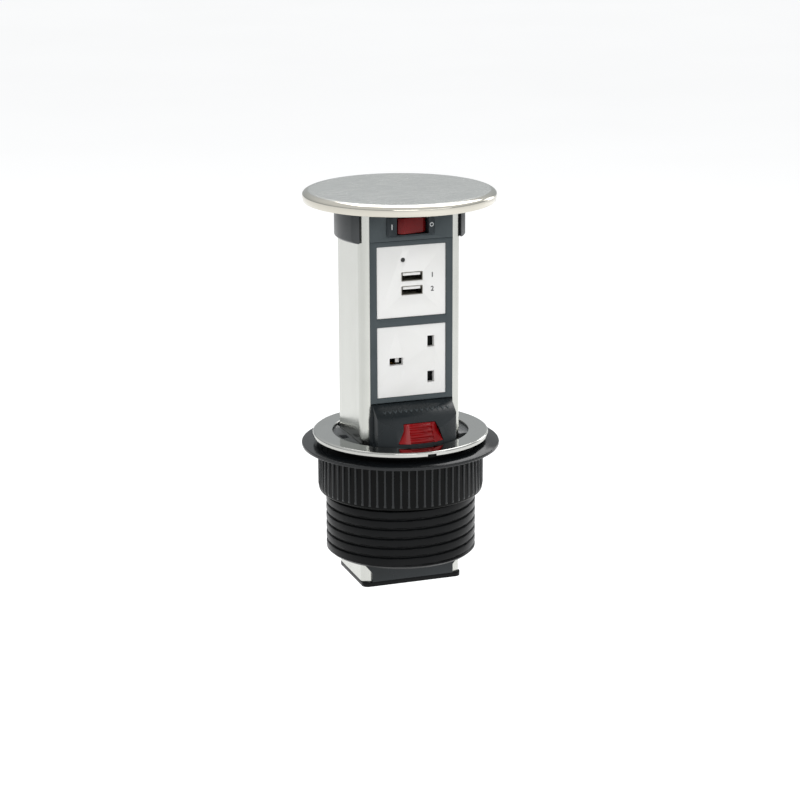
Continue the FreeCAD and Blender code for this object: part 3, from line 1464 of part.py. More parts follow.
def make_release_housing():
    body = new_body("housing_spine")
    half = S.opening_half - S.seat_gap
    inner_y = S.tower_front_y + S.profile_wall
    lip_z = S.base_low_z + S.base_lip
    front_pad(body, "spine_lower",
              ((-half, lip_z), (half, lip_z), (half, S.guide_top_z), (-half, S.guide_top_z)),
              S.housing_face_y, inner_y)
    front_pad(body, "spine_upper",
              ((-half, S.guide_top_z), (half, S.guide_top_z), (half, S.housing_top_z),
               (-half, S.housing_top_z)),
              S.panel_front_y, inner_y)
    edge = (
        (half, S.wing_low_z - S.wing_taper),
        (S.wing_low_half, S.wing_low_z),
        (S.wing_low_half, S.guide_low_z - S.wing_taper),
        (S.wing_half, S.guide_low_z),
        (S.wing_half, S.wing_top_z),
        (half, S.wing_top_z + S.wing_taper),
    )
    mirrored = tuple((-x, z) for x, z in reversed(edge))
    front_pad(body, "wings", edge + mirrored, S.housing_face_y, S.tower_front_y - S.wing_gap)
    cut_slope(body, "wing_slope", 0)
    guide = new_body("front_guide")
    pad(guide, sector(guide, "front_guide_plan", S.guide_r, S.opening_half, S.tower_front_y, S.guide_low_z),
        S.guide_top_z - S.guide_low_z, "front_guide_drum")
    room = new_body("housing_room")
    room_half = S.bulge_half - S.housing_wall
    room_low = S.guide_low_z + S.housing_wall
    pad(room, sector(room, "room_plan", S.bulge_r - S.housing_wall, room_half, S.housing_face_y, room_low),
        S.frame_low_z - room_low, "room_drum")
    cut_slope(room, "room_slope", -S.slope_wall)
    window = new_body("button_window")
    front_pad(window, "window_pad", button_outline(S.slip_gap), -(S.guide_r + PAST),
              S.housing_face_y - S.slip_gap)
    solid = fuse("housing_solid", body, make_bulge(), guide)
    return cut("release_housing", solid, room, window)


def button_outline(gap):
    low, top = S.button_low_half + gap, S.button_top_half + gap
    low_z, top_z = S.button_low_z - gap, S.button_top_z + gap
    return ((-low, low_z), (low, low_z), (top, top_z), (-top, top_z))


def flange_front_r():
    return S.bulge_r - S.housing_wall - S.slip_gap


def button_front_r(z):
    """The radius of the button's face at a height: upright in front of the bulge, then along the slope."""
    if number(z) < number(S.bulge_edge_z):
        return S.bulge_r + S.button_rise
    return S.button_rise - slope_y(z)


def ribbed_section():
    """Corners of the button's face as radius and height, with finger ribs from its lower to its upper edge."""
    pitch = (S.button_top_z - S.button_low_z) / S.button_rib_count
    corners = []
    for index in range(int(S.button_rib_count.now)):
        low = S.button_low_z + pitch * index
        for z, depth in ((low, S.button_rib_deep), (low + pitch * (1 - S.button_rib_share), 0),
                         (low + pitch, 0)):
            corners.append((button_front_r(z) - depth, z))
    return corners


def facet_corners(half, rise_y):
    """A button plan at one height: straight sides, and side facets that run forward to the middle."""
    back_y, side_y = -S.housing_face_y, rise_y
    nose_y = side_y + half * S.button_slant
    return ((-half, -back_y), (-half, -side_y), (0, -nose_y), (half, -side_y), (half, -back_y))


def make_button_sides():
    """The button's tapering block with its two side facets, wider at the lower edge."""
    body = new_body("button_sides")
    low_half, low_front = S.button_low_half, S.bulge_r + S.button_rise
    low_side_y = low_front - (low_half - S.button_face_low) * S.button_slant
    top_side_y = -slope_y(S.button_top_z)
    low = outline(body, "button_low_plan", "XY", facet_corners(low_half, low_side_y), offset=S.button_low_z)
    top = outline(body, "button_top_plan", "XY", facet_corners(S.button_top_half, top_side_y),
                  offset=S.button_top_z)
    loft = body.newObject("PartDesign::AdditiveLoft", "button_taper")
    loft.Profile = low
    loft.Sections = [top]
    loft.Ruled = True
    return body


def make_release_button():
    """A red push button with finger ribs, side facets, a retaining flange and a stem for its spring."""
    face = new_body("button_face")
    back_r = S.housing_wall - S.housing_face_y
    section = [(back_r, S.button_low_z)] + ribbed_section() + [(back_r, S.button_top_z)]
    turn(face, outline(face, "button_section", "XZ", section), "button_turned")
    outlined = common("button_outlined", face, make_button_sides())
    flange_r = flange_front_r()
    flange = new_body("button_flange_form")
    flange_low = S.button_low_z - S.button_flange_over
    flange_plan = sector(flange, "flange_plan", flange_r, S.button_low_half + S.button_flange_over,
                         S.housing_face_y,
                         flange_low)
    pad(flange, flange_plan, S.bulge_edge_z - flange_low, "flange_drum")
    cut_slope(flange, "flange_slope", -(S.slope_wall + 2 * S.slip_gap))
    back = rod("flange_back", "z", (0, 0), (flange_low - PAST, S.frame_low_z), flange_r - S.button_flange)
    shell = cut("button_flange_shell", flange, back)
    stem_y = -(flange_r - S.button_flange)
    stem = rod("button_stem", "y", (0, S.button_stem_z),
               (stem_y - S.button_flange / 2, stem_y + S.button_stem_long),
               S.button_stem_r)
    trimmed = cut("button_trimmed", outlined, back)
    return fuse("release_button", trimmed, shell, stem)


def make_button_spring():
    start_y = -(flange_front_r() - S.button_flange) + S.seat_gap
    return coil("button_spring", S.button_spring_r, S.spring_wire_r, S.housing_face_y - start_y,
                S.button_spring_turns, (0, start_y, S.button_stem_z), (0, 1, 0))


# Base of the tower

def make_base_cap():
    """Closes the extrusion's lower end: a lip under it and the housing, a wall inside it and a cable inlet."""
    body = new_body("base_cap")
    top_z = S.base_low_z + S.base_lip
    half, back = S.tower_half_width, S.tower_back_y
    lip = outline(body, "lip_shape", "XY",
                  ((-half, S.housing_face_y), (half, S.housing_face_y), (half, back), (-half, back)),
                  offset=S.base_low_z)
    pad(body, lip, S.base_lip, "lip")

    def is_lip_corner(edge):
        return is_upright(edge) and near(abs(edge.BoundBox.Center.x), half)

    dress(body, "lip_corners", "Fillet", S.base_corner_r, is_lip_corner)
    in_half = half - S.profile_wall - S.seat_gap
    in_front = S.tower_front_y + S.profile_wall + S.base_front_gap
    in_back = back - S.profile_wall - S.seat_gap
    room = 2 * S.port_r + S.base_port_gap
    spigot = outline(body, "spigot_shape", "XY", (
        (-in_half + room, in_front),
        (in_half - room, in_front),
        (in_half - room, in_back),
        (-in_half + room, in_back),
    ), offset=top_z)
    pad(body, spigot, S.base_spigot, "spigot")
    hollow = outline(body, "spigot_hollow_shape", "XY", (
        (-in_half + room + S.base_wall, in_front + S.base_wall),
        (in_half - room - S.base_wall, in_front + S.base_wall),
        (in_half - room - S.base_wall, in_back - S.base_wall),
        (-in_half + room + S.base_wall, in_back - S.base_wall),
    ), offset=top_z + S.base_spigot)
    pocket(body, hollow, S.base_spigot, "spigot_hollow")
    inlet = [(S.inlet_x, S.inlet_y)]
    pad(body, circles(body, "inlet_boss_shape", "XY", inlet, S.inlet_boss_r, offset=top_z),
        S.inlet_boss_high, "inlet_boss")
    posts = clamp_centres()
    pad(body, circles(body, "clamp_post_shape", "XY", posts, S.port_r, offset=top_z), S.base_spigot,
        "clamp_posts")
    pocket(body, circles(body, "inlet_shape", "XY", inlet, S.inlet_r, offset=top_z + S.inlet_boss_high),
           S.inlet_boss_high + S.base_lip, "inlet")
    pocket(body,
           circles(body, "base_screw_shape", "XY", port_centres(), S.screw_r + S.seat_gap, offset=top_z),
           S.base_lip, "base_screw_holes")
    sinks = circles(body, "base_sink_shape", "XY", port_centres(), S.lid_screw_head_r + S.seat_gap,
                    offset=S.base_low_z + S.screw_head + S.seat_gap)
    pocket(body, sinks, S.screw_head + S.seat_gap, "base_screw_sinks")
    pocket(body, circles(body, "clamp_hole_shape", "XY", posts, S.screw_r, offset=top_z + S.base_spigot),
           S.base_spigot, "clamp_holes")
    return body


def make_base_screws():
    seat_z = S.base_low_z + S.screw_head + S.seat_gap
    return screws("base_screws", port_centres(), (seat_z - S.screw_head, seat_z),
                  (seat_z, seat_z + S.lid_screw_long), S.lid_screw_head_r, S.screw_r)


def clamp_centres():
    reach = S.clamp_wide / 2 - S.port_r
    return [(S.inlet_x - reach, S.inlet_y), (S.inlet_x + reach, S.inlet_y)]


def make_cable_clamp():
    """A bar over the cable, screwed to two posts of the base cap."""
    low_z = S.base_low_z + S.base_lip + S.base_spigot
    half, half_deep = S.clamp_wide / 2, S.clamp_deep / 2
    bar = box("clamp_bar", (S.inlet_x - half, S.inlet_x + half),
              (S.inlet_y - half_deep, S.inlet_y + half_deep),
              (low_z, low_z + S.clamp_high))
    through = (low_z - PAST, low_z + S.clamp_high + PAST)
    passage = rod("clamp_passage", "z", (S.inlet_x, S.inlet_y), through, S.inlet_r + S.clamp_gap)
    holes = [rod("clamp_bar_hole_%d" % index, "z", centre, through, S.screw_r + S.seat_gap)
             for index, centre in enumerate(clamp_centres(), start=1)]
    return cut("cable_clamp", bar, passage, *holes)


def make_clamp_screws():
    seat_z = S.base_low_z + S.base_lip + S.base_spigot + S.clamp_high
    end_z = S.base_low_z + S.base_lip + S.clamp_screw_short
    return screws("clamp_screws", clamp_centres(), (seat_z, seat_z + S.screw_head), (end_z, seat_z),
                  S.clamp_screw_head_r, S.screw_r - S.seat_gap / 2)


def pole_places():
    return (("live", -1), ("earth", 0), ("neutral", 1))


def terminal_block_y():
    front = S.tower_back_y - S.profile_wall - S.block_deep
    return front, front + S.block_deep


def make_terminal_block():
    """A three-pole block on the extrusion's back wall, with an upright bore for each wire."""
    y = terminal_block_y()
    half, middle_y = S.block_wide / 2, y[0] + S.block_deep / 2
    z = (S.block_z, S.block_z + S.terminal_high)
    whole = box("terminal_body", (-half, half), y, z)
    bores, screw_holes = [], []
    for name, side in pole_places():
        x = side * S.pole_pitch
        bores.append(rod(name + "_pole", "z", (x, middle_y), (z[0] - PAST, z[1] + PAST), S.pole_r))
        screw_holes.append(rod(name + "_pole_screw_hole", "y", (x, z[0] + S.terminal_high / 2),
                               (y[0] - PAST, middle_y),
                               S.pole_screw_r + S.seat_gap / 2))
    return cut("terminal_block", whole, *bores, *screw_holes)


def make_terminal_screws():
    y = terminal_block_y()
    z = S.block_z + S.terminal_high / 2
    end_y = y[0] + S.block_deep / 2 - S.wire_r
    return group("terminal_screws", *[
        rod(name + "_terminal_screw", "y", (side * S.pole_pitch, z), (y[0], end_y), S.pole_screw_r)
        for name, side in pole_places()])


def make_wire(name, points):
    """An insulated wire along straight runs joined by round bends."""
    spots = [Vector(*[number(value) for value in point]) for point in points]
    bend = S.wire_bend_r.now
    edges = []
    start = spots[0]
    for before, corner, after in zip(spots, spots[1:], spots[2:]):
        into = (corner - before).normalize()
        out = (after - corner).normalize()
        turn_angle = into.getAngle(out)
        inset = bend * math.tan(turn_angle / 2)
        first, last = corner - into * inset, corner + out * inset
        half_way = (out - into).normalize()
        centre = corner + half_way * (bend ** 2 + inset ** 2) ** 0.5
        edges.append(Part.LineSegment(start, first).toShape())
        edges.append(Part.Arc(first, centre - half_way * bend, last).toShape())
        start = last
    edges.append(Part.LineSegment(start, spots[-1]).toShape())
    path = Part.Wire(edges)
    tangent = (spots[1] - spots[0]).normalize()
    section = Part.Wire(Part.makeCircle(S.wire_r.now, spots[0], tangent).Edges)
    wire = document.addObject("Part::Feature", name)
    wire.Shape = path.makePipeShell([section], True, False)
    return wire


def supply_wire(name, pole, spot):
    """From a pole of the terminal block up to the socket's terminal post of the same name."""
    y = terminal_block_y()
    pole_x = pole * S.pole_pitch
    pole_y = y[0] + S.block_deep / 2
    post_y = S.panel_back_y + S.socket_base_depth + S.post_deep / 2
    low_z = S.block_z + S.terminal_high / 2
    turn_z = S.block_z + S.terminal_high + S.wire_rise + S.wire_step * (pole + 1)
    return make_wire(name, (
        (pole_x, pole_y, low_z),
        (pole_x, pole_y, turn_z),
        (spot[1], post_y, turn_z + S.wire_rise),
        (spot[1], post_y, spot[2] + S.post_side / 2),
    ))


SUBPARTS = []


def keep(piece, label):
    piece.Label = label
    SUBPARTS.append(piece)


def build():
    keep(make_trim_ring(), "trim_ring")
    keep(make_threaded_sleeve(), "threaded_sleeve")
    keep(make_worktop_gasket(), "worktop_gasket")
    keep(make_clamp_washer(), "clamp_washer")
    keep(make_ring_nut(), "ring_nut")
    keep(make_tower_profile(), "tower_profile")
    keep(make_top_cap(), "top_cap")
    keep(make_lid_cap(), "lid_cap")
    keep(make_lid_under_plate(), "lid_under_plate")
    keep(make_lid_screws(), "lid_screws")
    keep(make_side_block("side_block_left", -1), "side_block_left")
    keep(make_side_block("side_block_right", 1), "side_block_right")
    keep(make_side_guide("side_guide_left", -1, True), "side_guide_left")
    keep(make_side_guide("side_guide_right", 1, False), "side_guide_right")
    keep(make_rear_guide(), "rear_guide")
    keep(make_module_frame(), "module_frame")
    keep(make_switch_panel(), "switch_panel")
    keep(make_breaker_housing(), "breaker_housing")
    keep(make_breaker_rocker(), "breaker_rocker")
    keep(make_breaker_terminals(), "breaker_terminals")
    keep(make_usb_plate(), "usb_plate")
    keep(make_usb_shells(), "usb_shells")
    keep(make_usb_tongues(), "usb_tongues")
    keep(make_usb_board(), "usb_board")
    keep(make_usb_transformer(), "usb_transformer")
    keep(make_usb_capacitors(), "usb_capacitors")
    keep(make_charge_lamp(), "charge_lamp")
    keep(make_socket_plate(), "socket_plate")
    keep(make_socket_base(), "socket_base")
    keep(make_socket_shutter(), "socket_shutter")
    keep(make_shutter_spring(), "shutter_spring")
    for name, z in line_heights():
        keep(line_contact(name + "_contact", z), name + "_contact")
    keep(make_earth_contact(), "earth_contact")
    keep(make_contact_terminals(), "contact_terminals")
    keep(make_contact_screws(), "contact_screws")
    keep(make_release_housing(), "release_housing")
    keep(make_release_button(), "release_button")
    keep(make_button_spring(), "button_spring")
    keep(make_base_cap(), "base_cap")
    keep(make_base_screws(), "base_screws")
    keep(make_cable_clamp(), "cable_clamp")
    keep(make_clamp_screws(), "clamp_screws")
    keep(make_terminal_block(), "terminal_block")
    keep(make_terminal_screws(), "terminal_screws")
    spots = {spot[0]: spot for spot in contact_spots()}
    for name, pole in pole_places():
        keep(supply_wire(name + "_wire", pole, spots[name]), name + "_wire")


def check_and_write():
    document.recompute()
    for item in document.Objects:
        if "Invalid" in item.State or "Error" in item.State:
            raise RuntimeError("%s failed: %s" % (item.Name, item.State))
    for piece in SUBPARTS:
        if piece.Shape.isNull() or not piece.Shape.isValid():
            raise RuntimeError("%s has no valid shape" % piece.Label)
    os.makedirs("parts", exist_ok=True)
    for piece in SUBPARTS:
        piece.Shape.exportStep("parts/%s.step" % piece.Label)
        print(piece.Label, len(piece.Shape.Solids), round(piece.Shape.Volume, 1))


build()
check_and_write()
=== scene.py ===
"""Looks of a pull-up power tower: steel lid and ring, aluminium extrusion and moulded black pieces."""

import logging
import math
from collections.abc import Iterable, Sequence
from dataclasses import dataclass
from enum import Enum

import bmesh
import bpy
from mathutils import Matrix, Vector

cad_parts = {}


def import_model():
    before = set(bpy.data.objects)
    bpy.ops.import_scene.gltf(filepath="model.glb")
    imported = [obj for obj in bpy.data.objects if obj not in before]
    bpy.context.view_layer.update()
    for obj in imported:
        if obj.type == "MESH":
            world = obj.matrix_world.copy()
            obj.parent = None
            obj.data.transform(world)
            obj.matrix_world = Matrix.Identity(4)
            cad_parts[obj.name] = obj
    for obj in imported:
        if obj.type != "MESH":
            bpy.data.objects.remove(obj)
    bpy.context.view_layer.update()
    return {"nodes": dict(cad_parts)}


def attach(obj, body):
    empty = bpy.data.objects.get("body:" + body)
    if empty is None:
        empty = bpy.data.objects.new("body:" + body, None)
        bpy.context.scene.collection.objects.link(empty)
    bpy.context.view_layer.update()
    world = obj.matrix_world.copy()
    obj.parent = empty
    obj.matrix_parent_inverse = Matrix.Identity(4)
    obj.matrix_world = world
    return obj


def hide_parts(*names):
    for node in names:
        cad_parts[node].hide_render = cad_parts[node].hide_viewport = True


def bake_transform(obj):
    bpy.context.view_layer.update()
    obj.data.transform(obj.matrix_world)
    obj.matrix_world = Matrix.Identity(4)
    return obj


LOG = logging.getLogger("power_tower")
MM = 0.001
NOISE_SPAN = (0.3, 0.7)

Point2 = tuple[float, float]
Point3 = tuple[float, float, float]
Item = bpy.types.Object
Shape = bmesh.types.BMesh
Corner = bmesh.types.BMVert
Tree = bpy.types.NodeTree
Node = bpy.types.Node
Socket = bpy.types.NodeSocket
Inputs = dict[int | str, object]


# Colour and nodes


def linear(colour: str) -> tuple[float, float, float, float]:
    """Turns an sRGB colour into linear light.

    Args:
        colour: A hex colour such as #a0b1c2.

    Returns:
        Red, green, blue and alpha.
    """
    channels = (int(colour[start:start + 2], 16) / 255 for start in (1, 3, 5))
    red, green, blue = (c / 12.92 if c <= 0.04045 else ((c + 0.055) / 1.055) ** 2.4 for c in channels)
    return red, green, blue, 1.0


def fill(node: Node, inputs: Inputs) -> Node:
    """Sets or links a node's inputs.

    Args:
        node: The node.
        inputs: For each input, by name or number: a value, a socket, or a node for its first output.

    Returns:
        The same node.
    """
    for key, given in inputs.items():
        source = given.outputs[0] if isinstance(given, Node) else given
        if isinstance(source, Socket):
            node.id_data.links.new(source, node.inputs[key])
        else:
            node.inputs[key].default_value = source
    return node


def add_node(tree: Tree, kind: str, inputs: Inputs | None = None, **settings: object) -> Node:
    """Adds one node.

    Args:
        tree: The tree that gets the node.
        kind: The node's type, such as ShaderNodeBump.
        inputs: What goes into its inputs, as fill takes it.
        **settings: Its properties, by name.

    Returns:
        The new node.
    """
    node = tree.nodes.new(kind)
    for name, value in settings.items():
        setattr(node, name, value)
    return fill(node, inputs or {})


def worked(tree: Tree, operation: str, *terms: float | Socket) -> Socket:
    """Adds a math node on numbers or sockets."""
    return add_node(tree, "ShaderNodeMath", dict(enumerate(terms)), operation=operation).outputs[0]


def ranged(tree: Tree, value: Socket, source: Sequence[float | Socket], target: Point2,
           smooth: bool = False) -> Socket:
    """Maps a value from one range to another.

    Args:
        tree: The tree that gets the node.
        value: The value.
        source: The low and high end of its own range.
        target: What the ends become.
        smooth: Whether it eases at both ends.

    Returns:
        The mapped value, which stays between the ends.
    """
    ends = zip(("From Min", "From Max", "To Min", "To Max"), (*source, *target))
    kind = "SMOOTHSTEP" if smooth else "LINEAR"
    node = add_node(tree, "ShaderNodeMapRange", {"Value": value, **dict(ends)}, interpolation_type=kind)
    return node.outputs[0]


def mixed(tree: Tree, amount: Socket, first: str | Socket, second: str | Socket) -> Socket:
    """Mixes two colours, each a hex colour or a socket."""
    first, second = (linear(end) if isinstance(end, str) else end for end in (first, second))
    return add_node(tree, "ShaderNodeMix", {0: amount, 6: first, 7: second}, data_type="RGBA").outputs[2]


# Finishes


@dataclass(frozen=True)
class Work:
    """A material while it is made: its nodes, its shader and its coordinates in metres."""

    tree: Tree
    shader: Node
    place: Socket

    def noise(self, size_mm: float, detail: float = 3.0) -> Socket:
        """Soft noise from 0 to 1, with blotches of about one size."""
        inputs = {"Scale": 1 / (size_mm * MM), "Detail": detail, "Vector": self.place}
        return add_node(self.tree, "ShaderNodeTexNoise", inputs).outputs[0]

    def radius(self) -> Socket:
        """Distance from the tower's axis.

        Returns:
            The distance in metres.
        """
        level = {0: self.place, 1: (1.0, 1.0, 0.0)}
        flat = add_node(self.tree, "ShaderNodeVectorMath", level, operation="MULTIPLY")
        return add_node(self.tree, "ShaderNodeVectorMath", {0: flat}, operation="LENGTH").outputs["Value"]

    def bump(self, height: Socket, depth_mm: float, strength: float | Socket = 1.0) -> None:
        """Gives the shader a relief of one depth, masked by its strength."""
        inputs = {"Height": height, "Distance": depth_mm * MM, "Strength": strength}
        fill(self.shader, {"Normal": add_node(self.tree, "ShaderNodeBump", inputs)})


@dataclass(frozen=True)
class Finish:
    """A finish: its colour, gloss and the patterns that every surface of it shows."""

    name: str
    colour: str
    tint: str
    roughness: float
    metallic: float = 0.0
    ior: float = 1.5
    specular: float = 0.5
    mottle_mm: float = 16.0
    gloss_spread: float = 0.05

    def material(self) -> bpy.types.Material:
        """Builds the material once and gives it back after that.

        Returns:
            The material of this finish.
        """
        known = bpy.data.materials.get(self.name)
        if known is not None:
            return known
        material = bpy.data.materials.new(self.name)
        material.use_nodes = True
        tree = material.node_tree
        tree.nodes.clear()
        shader = add_node(tree, "ShaderNodeBsdfPrincipled", {
            "Base Color": linear(self.colour), "Roughness": self.roughness, "Metallic": self.metallic})
        if self.metallic == 0.0:
            fill(shader, {"IOR": self.ior, "Specular IOR Level": self.specular})
        add_node(tree, "ShaderNodeOutputMaterial", {"Surface": shader})
        self.dress(Work(tree, shader, add_node(tree, "ShaderNodeTexCoord").outputs["Object"]))
        return material

    def varied(self, work: Work, noise: Socket) -> tuple[Socket, Socket]:
        """Lets colour and gloss follow a noise.

        Args:
            work: The material while it is made.
            noise: The noise, mostly within NOISE_SPAN.

        Returns:
            The colour and the roughness.
        """
        low, high = self.roughness - self.gloss_spread, self.roughness + self.gloss_spread
        amount = ranged(work.tree, noise, NOISE_SPAN, (0.0, 1.0))
        gloss = ranged(work.tree, noise, NOISE_SPAN, (low, high))
        return mixed(work.tree, amount, self.colour, self.tint), gloss

    def dress(self, work: Work) -> None:
        """Adds the slow variation of colour and gloss that hands and moulding leave."""
        tone, gloss = self.varied(work, work.noise(self.mottle_mm))
        fill(work.shader, {"Base Color": tone, "Roughness": gloss})


@dataclass(frozen=True)
class MouldedPlastic(Finish):
    """Injection-moulded plastic with the fine grain of a spark-eroded mould."""

    grain_mm: float = 0.35
    grain_depth_mm: float = 0.012

    def dress(self, work: Work) -> None:
        """Adds the mould's grain to the slow variation."""
        super().dress(work)
        work.bump(work.noise(self.grain_mm, 2.0), self.grain_depth_mm)


@dataclass(frozen=True)
class SmoothPlastic(MouldedPlastic):
    """Plastic from a polished mould, or ink: its grain hardly shows."""

    grain_depth_mm: float = 0.004


class Lay(Enum):
    """The way that the fine lines of a metal run."""

    ACROSS = "across"
    UPRIGHT = "upright"
    ROUND = "round"


@dataclass(frozen=True)
class LinedMetal(Finish):
    """Metal with fine lines: brushed, drawn or turned."""

    metallic: float = 1.0
    lay: Lay = Lay.ACROSS
    line_mm: float = 0.3
    length_mm: float = 30.0
    arcs: float = 6.0
    depth_mm: float = 0.01
    line_share: float = 0.7
    polished_from_mm: float = 0.0
    polish_fade_mm: Point2 = (-0.6, 0.4)
    polished_roughness: float = 0.11
    rim_reflection_colour: str = "#d2cec3"

    def lines(self, work: Work) -> Socket:
        """Noise drawn out along the lay.

        Args:
            work: The material while it is made.

        Returns:
            The noise, from 0 to 1.
        """
        tree, place = work.tree, work.place
        along, across = 1 / (self.length_mm * MM), 1 / (self.line_mm * MM)
        scale = (along, across, across)
        if self.lay is Lay.UPRIGHT:
            scale = (across, across, along)
        elif self.lay is Lay.ROUND:
            axes = add_node(tree, "ShaderNodeSeparateXYZ", {0: place}).outputs
            turn = worked(tree, "ARCTAN2", axes["Y"], axes["X"])
            place = add_node(tree, "ShaderNodeCombineXYZ", {"X": work.radius(), "Y": turn, "Z": axes["Z"]})
            scale = (across, self.arcs, across)
        mapped = add_node(tree, "ShaderNodeMapping", {"Scale": scale, "Vector": place})
        inputs = {"Scale": 1.0, "Detail": 4.0, "Roughness": 0.65, "Vector": mapped}
        return add_node(tree, "ShaderNodeTexNoise", inputs).outputs[0]

    def dress(self, work: Work) -> None:
        """Adds the lines to colour, gloss and relief, and a polished rim where the finish has one, whose
        warmer, darker tone is a painted reflection.

        Args:
            work: The material while it is made.
        """
        tree, lines, mask = work.tree, self.lines(work), 1.0
        blotches = worked(tree, "MULTIPLY", work.noise(self.mottle_mm), 1 - self.line_share)
        tone, gloss = self.varied(work, worked(tree, "MULTIPLY_ADD", lines, self.line_share, blotches))
        if self.polished_from_mm > 0.0:
            rim = [(self.polished_from_mm + fade) * MM for fade in self.polish_fade_mm]
            mask = ranged(tree, work.radius(), rim, (1.0, 0.0), smooth=True)
            ends = {0: mask, 2: self.polished_roughness, 3: gloss}
            gloss = add_node(tree, "ShaderNodeMix", ends, data_type="FLOAT").outputs[0]
            # The rim's warmer, darker tone is a painted reflection of the room
            tone = mixed(tree, mask, self.rim_reflection_colour, tone)
        fill(work.shader, {"Base Color": tone, "Roughness": gloss})
        work.bump(lines, self.depth_mm, mask)


@dataclass(frozen=True)
class ClearRedPlastic(Finish):
    """Tinted polycarbonate: light goes a little way in, so its edges glow."""

    ior: float = 1.58
    depth_mm: float = 2.5
    glow: float = 0.25
    reach: Point3 = (1.0, 0.12, 0.1)

    def dress(self, work: Work) -> None:
        """Lets light into the plastic and varies its colour."""
        super().dress(work)
        fill(work.shader, {"Subsurface Weight": self.glow, "Subsurface Radius": self.reach,
                           "Subsurface Scale": self.depth_mm * MM})


@dataclass(frozen=True)
class Striped(Finish):
    """Two colours in upright bands, such as an earth wire's insulation or winding tape."""

    band_mm: float = 3.0
    second: str = "#e0c020"
    wave_turn: float = 0.314

    def dress(self, work: Work) -> None:
        """Lays bands of the second colour over the first.

        Args:
            work: The material while it is made.
        """
        super().dress(work)
        scale = self.wave_turn / (self.band_mm * MM)
        inputs = {"Scale": scale, "Distortion": 0.3, "Detail": 1.0, "Vector": work.place}
        wave = add_node(work.tree, "ShaderNodeTexWave", inputs, bands_direction="Z")
        band = worked(work.tree, "GREATER_THAN", wave.outputs[1], 0.5)
        fill(work.shader, {"Base Color": mixed(work.tree, band, self.colour, self.second)})


@dataclass(frozen=True)
class CircuitBoard(Finish):
    """Solder mask over copper tracks on glass fibre."""

    track_mm: float = 2.2
    track_share: float = 0.12
    track_depth_mm: float = 0.04

    def dress(self, work: Work) -> None:
        """Draws the tracks as lighter, raised lines under the mask.

        Args:
            work: The material while it is made.
        """
        super().dress(work)
        inputs = {"Scale": 1 / (self.track_mm * MM), "Vector": work.place}
        cells = add_node(work.tree, "ShaderNodeTexVoronoi", inputs, feature="DISTANCE_TO_EDGE")
        track = worked(work.tree, "LESS_THAN", cells.outputs["Distance"], self.track_share)
        fill(work.shader, {"Base Color": mixed(work.tree, track, self.colour, self.tint)})
        work.bump(track, self.track_depth_mm)


@dataclass(frozen=True)
class OpalSheet(Finish):
    """A light table's opal sheet, which glows a little."""

    glow: float = 0.55

    def dress(self, work: Work) -> None:
        """Adds the glow to the slow variation."""
        super().dress(work)
        fill(work.shader, {"Emission Color": linear("#ffffff"), "Emission Strength": self.glow})


# Stainless steel sheet, brushed straight across on top; the rolled rim is polished and mirrors the room, and
# its warmer, darker tone is a painted reflection
LID_STEEL = LinedMetal("brushed_stainless_lid", "#d8d8d4", "#c4c5c2", 0.26, line_mm=0.32, length_mm=45.0,
                       depth_mm=0.008, polished_from_mm=55.6)
# The same steel, turned and polished: it mirrors the tower and the red button
RING_STEEL = LinedMetal("polished_stainless_ring", "#c6c6c2", "#bbbbb7", 0.10, lay=Lay.ROUND, line_mm=0.35,
                        depth_mm=0.0008, gloss_spread=0.02)
# Satin anodised aluminium: pale, faintly warm, with fine upright drawing lines
TOWER_ALUMINIUM = LinedMetal("anodised_aluminium", "#cfd0cb", "#c6c7c1", 0.24, lay=Lay.UPRIGHT, line_mm=0.5,
                             length_mm=120.0, depth_mm=0.0015, gloss_spread=0.03)
# Moulded ABS in dark slate, with a satin face from a fine spark-eroded mould
SLATE_ABS = MouldedPlastic("slate_abs", "#474f52", "#41494c", 0.34, specular=0.25)
BLOCK_ABS = MouldedPlastic("slate_abs_blocks", "#3f4243", "#393c3e", 0.30, specular=0.4)
# The same ABS near black: satin round the rocker, glossier on the release housing, glossiest on the washer
BEZEL_ABS = MouldedPlastic("black_abs_bezel", "#2d3438", "#282f33", 0.32, specular=0.25)
HOUSING_ABS = MouldedPlastic("black_abs_housing", "#24292c", "#1f2426", 0.26, specular=0.3)
# The raised chevrons are the same ABS painted lighter, a painted highlight on the raised marks
HIGHLIGHT_EMBOSSED_ABS = SmoothPlastic("black_abs_embossed", "#3d4548", "#363d40", 0.20, grain_mm=0.2)
WASHER_ABS = SmoothPlastic("glossy_black_abs", "#15181a", "#121416", 0.20, specular=0.35)
# Glass-filled nylon, near black and faintly grained; the nut's ribs are painted lighter as a painted
# highlight on their crests, and its body darker as painted shade in its flutes
BLACK_NYLON = MouldedPlastic("black_nylon", "#111213", "#0e0f10", 0.32, specular=0.12, grain_mm=0.5,
                             grain_depth_mm=0.02)
SHADED_NUT_NYLON = MouldedPlastic("black_nylon_nut", "#070808", "#050606", 0.30, specular=0.1, grain_mm=0.5)
HIGHLIGHT_RIB_NYLON = SmoothPlastic("rubbed_black_nylon", "#222426", "#1d1f20", 0.24, specular=0.3)
# The socket's inner moulding is painted near black as painted shade, so its apertures show as dark slots; the
# shutter takes the same finish
INNER_SHADE_NYLON = MouldedPlastic("black_nylon_inner", "#0b0b0c", "#090a0a", 0.55, specular=0.15)
# Unfilled nylon of the terminal block, which yellows a little
BASE_NYLON = MouldedPlastic("natural_nylon", "#dcd8cc", "#d2cec2", 0.45)
# White urea moulding of the socket and the charger: warm white, glossy under a soft light
WHITE_UREA = SmoothPlastic("white_urea", "#edecea", "#ebeae7", 0.30, ior=1.56, gloss_spread=0.004,
                           grain_mm=0.6)
